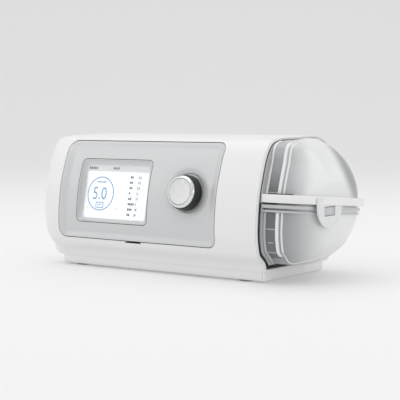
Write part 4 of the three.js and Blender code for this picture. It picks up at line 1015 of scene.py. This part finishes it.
def frost_and_painted_shade_plastic(name, near, far, clear_near, clear_far, rear, frosting, rear_shade_span):
    """Plastic that is clearer by the casing and more frosted towards the nose. Its colour is also
    painted darker by the casing, painted shade for the dim inside seen through the clearer wall,
    and darker on its rear side, painted shade for the dark band along its far edge."""
    material = polycarbonate(
        name, near, None, clear_near, (0.26, 0.36), Coat_Weight=0.6, Coat_Roughness=0.06,
    )
    at = add_node(material, "ShaderNodeTexCoord")
    shares = []
    for way, distances in ((frost_and_shade_way, frosting), (rear_shade_way, rear_shade_span)):
        place = add_node(
            material, "ShaderNodeVectorMath", {"operation": "DOT_PRODUCT"}, n0=at.outputs["Object"],
            n1=way,
        )
        start, end = [along_way(way, distance) for distance in distances]
        shares.append(add_node(
            material, "ShaderNodeMapRange", {"interpolation_type": "SMOOTHSTEP"},
            Value=place.outputs["Value"], From_Min=start, From_Max=end,
        ).outputs["Result"])
    frosted, behind = shares
    body = add_node(
        material, "ShaderNodeMix", {"data_type": "RGBA"}, n0=frosted, n6=colour(near), n7=colour(far),
    )
    body = add_node(
        material, "ShaderNodeMix", {"data_type": "RGBA"}, n0=behind, n6=body.outputs[2],
        n7=colour(rear),
    )
    clear = add_node(
        material, "ShaderNodeMapRange", Value=frosted, To_Min=clear_near, To_Max=clear_far,
    )
    shader = material.node_tree.nodes["Principled BSDF"]
    material.node_tree.links.new(body.outputs[2], shader.inputs["Base Color"])
    material.node_tree.links.new(clear.outputs["Result"], shader.inputs["Transmission Weight"])
    return material


# Light frosting: the lid is clearer by the casing, and pale and cloudy at the nose. The bowl is
# frosted more. Both are painted grey by the casing, painted shade for the dim inside seen through
# the clearer wall, and painted darker on the far side, painted shade for the dark band at the edge.
frosted_lid_with_shade = frost_and_painted_shade_plastic(
    "light_frost_polycarbonate_and_shade", "#BEC1C3", "#F2F3F3", 0.35, 0.1, "#9EA0A2", (22, 64), (162, 178),
)
frosted_bowl_with_shade = frost_and_painted_shade_plastic(
    "frosted_polycarbonate_and_shade", "#A0A3A5", "#EFF0F0", 0.3, 0.1, "#DFE0E1", (12, 88), (150, 180),
)
# The bowl's lips are clearer than the band and ribs, whose thick milky walls look nearly white.
# On the ribs and the bowl's edge bead this near-white is also painted highlight, for the light
# along their rounded crests.
lip_plastic = polycarbonate("polycarbonate_lip", "#D2D4D5", "#DADCDD", 0.2, (0.3, 0.38))
milky_and_highlight = polycarbonate("milky_polycarbonate_and_painted_highlight", "#F0F1F1", "#F6F6F6", 0.08, (0.32, 0.42))

lid_mesh = shaped(
    chamber_skin("chamber_lid", 0, lid_start), chamber_skin("inside", chamber_wall, -2),
)
lid_mesh = shaped(lid_mesh, beyond_rim(0.3, True), operation="INTERSECT")
chamber_lid = add_piece("lid_dome", lid_mesh, frosted_lid_with_shade, "lid", angle=40, edge=0.3)
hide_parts("chamber_lid")
band_start, band_top = 6.8, 7.4
band_edge = band_top + 0.8
band_section = [
    (-1, 0.3), (3.8, 0.3), (4.3, 0.6), (4.5, 1.2), (4.5, 6.2), (4.2, 7.0), (3.5, band_top),
    (-1, band_top),
]
rim_band = add_piece("lid_band", rim_bar("lid_band", band_start, band_section), milky_and_highlight, "lid")
band_root = add_piece("lid_band_root", rim_bar("lid_band_root", lid_start, [
    (-3, 0.3), (1.6, 0.3), (1.9, 0.6), (1.9, 7.1), (1.6, band_top), (-3, band_top),
]), milky_and_highlight, "lid")
# Moulded black rubber, for the blower's cushions. Here the same dull dark material makes two
# strips at the band: painted shadow, a dark line for the shadow in the seams above and under it.
black_rubber_and_shadow = surface("black_rubber_and_painted_shadow", 0.6, 0.4, "#262628", "#323234", 0.85, IOR=1.52)
left_of_all, right_of_all, front_to_back, all_heights = -20, 60, (-20, 200), (0, 200)
# Painted shadow: a dark strip on the band's top, for the shadow gap under the ribs' lower ends.
lid_shadow_strip_piece = add_piece("lid_band_shadow_strip", shaped(
    rim_bar("lid_band_shadow_strip", 10, [
        (-1.5, band_top), (2.4, band_top), (2.5, band_top + 0.4), (2.2, band_edge), (-1.5, band_edge),
    ]), block(29, right_of_all, *front_to_back, *all_heights),
    block(0, right_of_all, 40, front_to_back[1], *all_heights),
), black_rubber_and_shadow, "lid")
# Painted shadow: a dark strip under the band, for the shadow that the band throws on the bowl.
bowl_band_shadow_strip = add_piece("bowl_band_shadow_strip", shaped(
    rim_bar("bowl_band_shadow_strip", lid_start, [(-1.5, -0.9), (2.2, -0.9), (2.2, -0.1), (-1.5, -0.1)]),
    block(14, right_of_all, *front_to_back, *all_heights),
    block(left_of_all, right_of_all, 40, front_to_back[1], *all_heights),
), black_rubber_and_shadow, "chamber")

plate_hole_sides, plate_hole_corner, bowl_floor = (-42.3, -16.7, 32.7, 91.3), 5, 2.3
bowl_mesh = shaped(
    chamber_skin("water_tub", 0, -inside_length),
    chamber_skin("inside", chamber_wall, -inside_length + chamber_wall),
    slab(*plate_hole_sides, 0, floor_z + bowl_floor, plate_hole_corner),
)
bowl_mesh = shaped(bowl_mesh, beyond_rim(0, False), operation="INTERSECT")
water_tub = add_piece("water_bowl", bowl_mesh, frosted_bowl_with_shade, "chamber", angle=40, edge=0.3)
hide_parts("water_tub")
lip_sections = {
    "bowl_lip": [(-1, -4.3), (1.2, -4.3), (1.6, -4.0), (1.6, -1.5), (1.2, -1.2), (-1, -1.2)],
    "bowl_lower_lip": [(-1, -7.6), (0.6, -7.6), (1.0, -7.3), (1.0, -6.1), (0.6, -5.8), (-1, -5.8)],
}
for lip_name, section in lip_sections.items():
    bowl_lip = add_piece(lip_name, rim_bar(lip_name, lid_start, section), lip_plastic, "chamber")

# The chamber's trim. Three moulded ribs run round its neck, and a bead of painted highlight runs
# on along the bowl's lower edge. Between the first two the wall is left clear, and a dark plate of
# painted shade stands for the dim inside, with lines in the bowl for the water's level.

rib_places = {"inner": (1.9, 4.1, 0.7), "middle": (13.9, 17.1, 0.9), "outer": (19.2, 20.9, 0.55)}
lid_rib_foot, bowl_rib_top = band_top + 0.3, -7.9


def neck_rib(x0, x1, height, lift, up):
    """A rounded rib round the neck, kept above or below a height over the rim."""
    section = [
        (x0, -0.7), (x0, 0.5 * height), (x0 + 0.35 * (x1 - x0), height),
        (x0 + 0.65 * (x1 - x0), height), (x1, 0.5 * height), (x1, -0.7),
    ]
    rings = [
        chamber_ring(x, chamber_reach(x, 0, neck_line) + proud) for x, proud in section
    ]
    return shaped(skin("rib", rings, closed=True), beyond_rim(lift, up), operation="INTERSECT")


rib_ends = {"inner": 17, "middle": 24.5, "outer": 29}
over_the_top = block(left_of_all, right_of_all, 34, front_to_back[1], 80, all_heights[1])
for rib_name, (x0, x1, height) in rib_places.items():
    lid_rib = add_piece(
        f"lid_{rib_name}_rib",
        shaped(neck_rib(x0, x1, height, lid_rib_foot, True), over_the_top), milky_and_highlight, "lid", angle=60,
    )
    bowl_rib = add_piece(
        f"bowl_{rib_name}_rib", shaped(
            neck_rib(x0, x1, height, bowl_rib_top, False),
            block(left_of_all, right_of_all, *front_to_back, 0, rib_ends[rib_name]),
            block(left_of_all, right_of_all, nose_y, front_to_back[1], *all_heights),
        ), lip_plastic if rib_name == "inner" else milky_and_highlight, "chamber", angle=60,
    )

# Painted shade: a glossy, smooth dark grey that stands for the shaded, empty bowl behind the
# clear wall.
dark_inside_painted_shade = surface(
    "window_painted_shade", 6, 0.03, "#63666A", "#6E7175", (0.12, 0.2), IOR=1.58,
)
# The level lines stand out from the wall. Their pale grey is painted highlight, for the light that
# they catch as thin strokes.
level_line_highlight = polycarbonate("level_line_painted_highlight", "#B4B7B9", "#BEC1C3", 0.1, (0.4, 0.5))
window_x = (4.5, 13.9)
# The window's dark grey plate is painted shade, for the dim inside behind the clear wall.
water_window = add_piece("water_window", plate_over(
    "water_window", np.linspace(*window_x, 5), np.linspace(22.6, 61.6, 26),
    lambda x, z: neck_front(z) - 0.25, 0.6,
), dark_inside_painted_shade, "chamber")
for number, (z, x0, x1) in enumerate([(48.0, 4.6, 13.4), (36.5, 6.5, 12.0), (28.1, 5.0, 13.4)], 1):
    level = add_piece(f"level_line_{number}", plate_over(
        "level_line", np.linspace(x0, x1, 5), np.linspace(z - 0.4, z + 0.4, 3),
        lambda x, z: neck_front(z) - 0.4, 0.4,
    ), level_line_highlight, "chamber")

# The same wall over the lid's air space, in painted shade and light: dark below, and paler
# towards the lit top.
fade_start, fade_end = 78, 122
shade_fade_material = surface("strip_painted_shade_fade", 6, 0.03, "#5A5D60", None, (0.12, 0.2), IOR=1.58)
fade_at = add_node(shade_fade_material, "ShaderNodeTexCoord")
fade_height = add_node(shade_fade_material, "ShaderNodeSeparateXYZ", Vector=fade_at.outputs["Object"])
fade_share = add_node(
    shade_fade_material, "ShaderNodeMapRange", Value=fade_height.outputs["Z"], From_Min=fade_start * mm,
    From_Max=fade_end * mm,
)
fade_body = add_node(
    shade_fade_material, "ShaderNodeMix", {"data_type": "RGBA"}, n0=fade_share.outputs["Result"],
    n6=colour("#5A5D60"), n7=colour("#B4B7B9"),
)
shade_fade_material.node_tree.links.new(
    fade_body.outputs[2], shade_fade_material.node_tree.nodes["Principled BSDF"].inputs["Base Color"],
)
# The strip's colour is painted shade below and painted light above.
lid_strip = add_piece("lid_painted_shade_strip", plate_over(
    "lid_painted_shade_strip", np.linspace(*window_x, 5), np.linspace(79.5, 118.5, 30),
    lambda x, z: neck_front(z) - 0.25, 0.6,
), shade_fade_material, "lid")


def neck_flange(lift, up, gap):
    """The chamber's end wall where it shows round the neck, inside the casing's mouth."""
    outer = casing_outline(casing_wall + gap)
    outer[:, 1] = np.maximum(outer[:, 1], floor_z - 1)
    inner = casing_outline(lambda z: np.maximum(
        neck_inset + (neck_top_inset - neck_inset) * smooth(z, neck_shoulder, nose_top) + 1.5,
        casing_wall + gap + 0.5,
    ))
    inner[:, 1] = np.maximum(inner[:, 1], floor_z + 1)
    rings = [
        np.stack([np.full(len(line), x), *line.T], 1)
        for line, x in ((outer, 0.5), (outer, 1.8), (inner, 1.8), (inner, 0.5))
    ]
    return shaped(skin("flange", rings, closed=True), beyond_rim(lift, up), operation="INTERSECT")


# The end wall lies in the casing's mouth. Its even mid grey is painted shade, for the shade
# inside the mouth.
flange_painted_shade = polycarbonate("end_wall_painted_shade", "#B9BCBE", "#C3C6C8", 0.1, (0.3, 0.4))
flange_gap, flange_top, corner_bottom, corner_rear = 0.15, 112.3, 112.5, 36
lid_flange = add_piece("neck_upper_flange", shaped(
    neck_flange(0, True, flange_gap),
    block(left_of_all, right_of_all, *front_to_back, flange_top, all_heights[1]),
), flange_painted_shade, "chamber")
bowl_flange = add_piece("neck_lower_flange", neck_flange(-0.2, False, 1.9), flange_painted_shade, "chamber")
corner_flange = add_piece("lid_corner_flange", shaped(
    neck_flange(0, True, flange_gap),
    block(left_of_all, right_of_all, *front_to_back, 0, corner_bottom),
    block(left_of_all, right_of_all, corner_rear, front_to_back[1], *all_heights),
), flange_painted_shade, "lid")

highlight_angles = [
    196, 204, 210, 215, 219.5, 223, 226, 228.2, 229.8, 231.2, 233, 238, 249.5, 263.5, 276, 288.5,
    300, 312,
]
highlight_places = [
    20.1, 20.1, 20, 19.9, 19.8, 19.7, 19.7, 20.2, 21.6, 23.8, 25.8, 27.0, 27.6, 27.6, 28.2, 29.7,
    31, 32,
]


def surface_point(x, degrees, lift):
    reach = np.interp(
        math.radians(degrees), chamber_angles, chamber_reach(x, 0, neck_line),
    ) + lift
    turn = math.radians(degrees)
    return np.array([x, nose_y + reach * math.cos(turn), neck_z + reach * math.sin(turn)])


def bead(name, path, radius, sides=10):
    """A round bead along a path of points."""
    path = evenly(line_through(np.array(path), 8), 60)
    along = np.gradient(path, axis=0)
    along /= np.linalg.norm(along, axis=1)[:, None]
    middle = np.array([10.0, nose_y, neck_z])
    turns = np.linspace(0, 2 * math.pi, sides, endpoint=False)
    rings = []
    for point, ahead in zip(path, along):
        out = point - middle
        out -= ahead * (out @ ahead)
        out /= np.linalg.norm(out)
        side = np.cross(ahead, out)
        rings.append([point + radius * (math.cos(t) * out + math.sin(t) * side) for t in turns])
    return skin(name, rings)


# The bead is painted highlight: a near-white line along the bowl's rounded lower edge.
edge_highlight_piece = add_piece("bowl_edge_highlight", bead("bowl_edge_highlight", [
    surface_point(x, degrees, 0.1) for x, degrees in zip(highlight_places, highlight_angles)
], 0.55), milky_and_highlight, "chamber", angle=60)

# The latch. A tongue of the same plastic that hangs from the band over a catch on the bowl, with
# a window through it and a raised edge.

latch_y, latch_half, latch_drop, latch_x = 42, 20.5, 19, 46.9
latch_low = rim_z(latch_y)
latch_window_half, latch_window_bottom, latch_window_top = 9, 8.6, 0.6


def tongue_outline(inset, steps=32):
    turns = np.linspace(math.pi, 2 * math.pi, steps + 1)
    half, drop = latch_half - inset, latch_drop - inset
    points = [(latch_y - half, rim_z(latch_y - half, 6.6 - inset))]
    points += [(latch_y + half * math.cos(t), latch_low + drop * math.sin(t)) for t in turns]
    return np.array(points + [(latch_y + half, rim_z(latch_y + half, 6.6 - inset))])


# The latch is thinner than the band it hangs from, and so a shade greyer.
latch_plastic = polycarbonate("polycarbonate_latch", "#E8E9EA", "#EEEFF0", 0.1, (0.32, 0.42))
tongue_rings = [(0.5, -2.0), (0.0, -1.5), (0.0, -0.4), (0.4, 0.0), (1.6, 0.0), (2.0, -0.5)]
tongue_mesh = shaped(
    skin("lid_latch", [
        [(latch_x + level, y, z) for y, z in tongue_outline(inset)] for inset, level in tongue_rings
    ]),
    block(
        40, 50, latch_y - latch_window_half, latch_y + latch_window_half,
        latch_low - latch_window_bottom, latch_low - latch_window_top,
    ),
)
lid_latch = add_piece("latch_tongue", tongue_mesh, latch_plastic, "latch", angle=40, edge=0.2)
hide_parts("lid_latch")
bowl_catch = add_piece("bowl_catch", skin("bowl_catch", [
    [(42 + x, y, z) for y, z in rounded_rectangle(2 * half, 7.0 - (8.4 - half), 1, 2, 3)
     + (latch_y, latch_low - 4.6)] for x, half in ((0, 8.4), (3.6, 8.4), (4.0, 8.0))
]), lip_plastic, "chamber", angle=50)

# The rear. A slotted white cover over the air filter, the hose outlet, the low-voltage inlet and
# a standby button, each in its own opening of the casing.

door_left, door_right, door_front, door_bottom, door_top = -219.2, -178.8, 123.6, 42, 73.2
door_mesh = block(door_left, door_right, door_front, casing_depth, door_bottom, door_top)
louvre_count, louvre_margin, louvre_half = 5, 6, 1.5
louvre_pitch = (filter_top - filter_bottom - 2 * louvre_margin) / louvre_count
louvre_middles = [
    filter_bottom + louvre_margin + louvre_pitch * (i + 0.5) for i in range(louvre_count)
]
louvres = [
    block(
        filter_left + louvre_margin, filter_right - louvre_margin, before_rear, behind_rear,
        z - louvre_half, z + louvre_half,
    ) for z in louvre_middles
]
door_mesh = shaped(door_mesh, *louvres)
filter_door = add_piece("filter_cover_plate", door_mesh, white_abs, "filter_cover", edge=0.4)
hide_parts("filter_door")

outlet_profile = [
    (9.2, 118), (11, 118), (11, 126.8), (14.2, 126.8), (14.5, 127.1), (14.5, 128.9), (14.2, 129.2),
    (11.2, 129.2), (11.0, 129.6), (10.9, 145.3), (10.6, 145.9), (9.5, 146), (9.2, 145.6),
]
turns = np.linspace(0, 2 * math.pi, 72, endpoint=False)
outlet_mesh = skin("air_outlet", [
    [(outlet_x + r * math.cos(t), y, outlet_z + r * math.sin(t)) for t in turns]
    for r, y in outlet_profile
], closed=True)
air_outlet = add_piece("hose_outlet", outlet_mesh, white_abs, "unit", angle=50)
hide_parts("air_outlet")

button_mesh = round_bar("y", [
    (5.6, 120), (5.6, 126.9), (5.3, 127.3), (4.7, 127.4), (3.9, 127.2), (0.8, 127.0),
], 0, 0, button_x, button_z, 64)
# Satin grey ABS: like the casing, but duller, and set off from its white.
grey_plastic = surface(
    "satin_grey_abs", 0.4, 0.18, "#A6AAAD", "#B2B6B9", (0.38, 0.5), depth=0.03, IOR=1.5,
)
power_button = add_piece("standby_button_cap", button_mesh, grey_plastic, "standby_button")
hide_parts("power_button")

# The pieces inside keep their CAD form: boards, blower, ducts, dock, heater, card and fastenings,
# each in the material that it is made of.


def inner(name, lump, relief, dark, light, rough, **more):
    return surface(name, lump, relief, dark, light, rough, depth=0.05, **more)


# Zinc plating is bright and cool, and the cast aluminium beside it paler and duller.
steel = inner("zinc_plated_steel", 1.2, 0.1, "#AEB2B6", "#C2C6CA", (0.25, 0.4), Metallic=1.0)
aluminium = inner("cast_aluminium", 0.8, 0.3, "#BFC2C5", "#D0D3D6", (0.35, 0.5), Metallic=1.0)
# Green varnish over woven glass cloth looks even, with a slight gloss.
laminate = inner("green_circuit_laminate", 2.0, 0.2, "#17583A", "#20704B", (0.4, 0.6), IOR=1.55)
# Moulded silicone is creamy and soft, with a dull gloss.
silicone = inner("translucent_silicone", 0.7, 0.15, "#CFCCC4", "#DCD9D2", (0.5, 0.65), IOR=1.42)
# Open foam swallows light between its cells, so it looks speckled and dark.
foam = inner("open_cell_foam", 0.9, 1.0, "#2E3034", "#5A5D62", (0.9, 1.0))
# Polyimide film is amber and smooth.
film = inner("polyimide_heater_film", 3.0, 0.1, "#9A5220", "#B5682E", (0.3, 0.45), IOR=1.7)
# Glass-filled nylon is off-white, its fibres leaving a fine dull grain.
wheel_plastic = inner("glass_filled_nylon", 0.5, 0.2, "#CDD0D2", "#DADDDF", (0.4, 0.55), IOR=1.53)
# The card's moulded plastic is a flat, slightly glossy blue.
card_plastic = inner("blue_card_plastic", 0.5, 0.15, "#27447A", "#304F8C", (0.35, 0.5), IOR=1.5)
inner_finishes = {
    **{f"base_screw_{number}": steel for number in range(1, 5)},
    "encoder_shaft": steel, "motor_bearing": steel, "motor_shaft": steel, "card_reader": steel,
    "tub_heat_plate": steel, "hinge_pin": steel, "encoder_body": aluminium, "motor": aluminium,
    "heater_plate": aluminium, "display_board": laminate, "main_board": laminate,
    "rear_board": laminate, "buzzer": black_plastic, "flow_sensor": grey_plastic,
    "blower_lower": black_plastic, "blower_upper": black_plastic, "muffler_box": black_plastic,
    "dock_frame": black_plastic, "power_inlet": black_plastic, "power_switch": black_plastic,
    "filter_tray": grey_plastic, "muffler_foam": foam, "air_filter": foam, "impeller": wheel_plastic,
    **{f"blower_cushion_{number}": black_rubber_and_shadow for number in range(1, 4)},
    "inlet_duct": silicone, "chamber_duct": silicone, "outlet_duct": silicone,
    "inlet_seal": silicone, "outlet_seal": silicone, "lid_seal": silicone, "heater_film": film,
    "memory_card": card_plastic, "chamber_wall": flange_painted_shade,
}
for node_name, material in inner_finishes.items():
    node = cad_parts[node_name]
    node.data.materials.clear()
    node.data.materials.append(material)
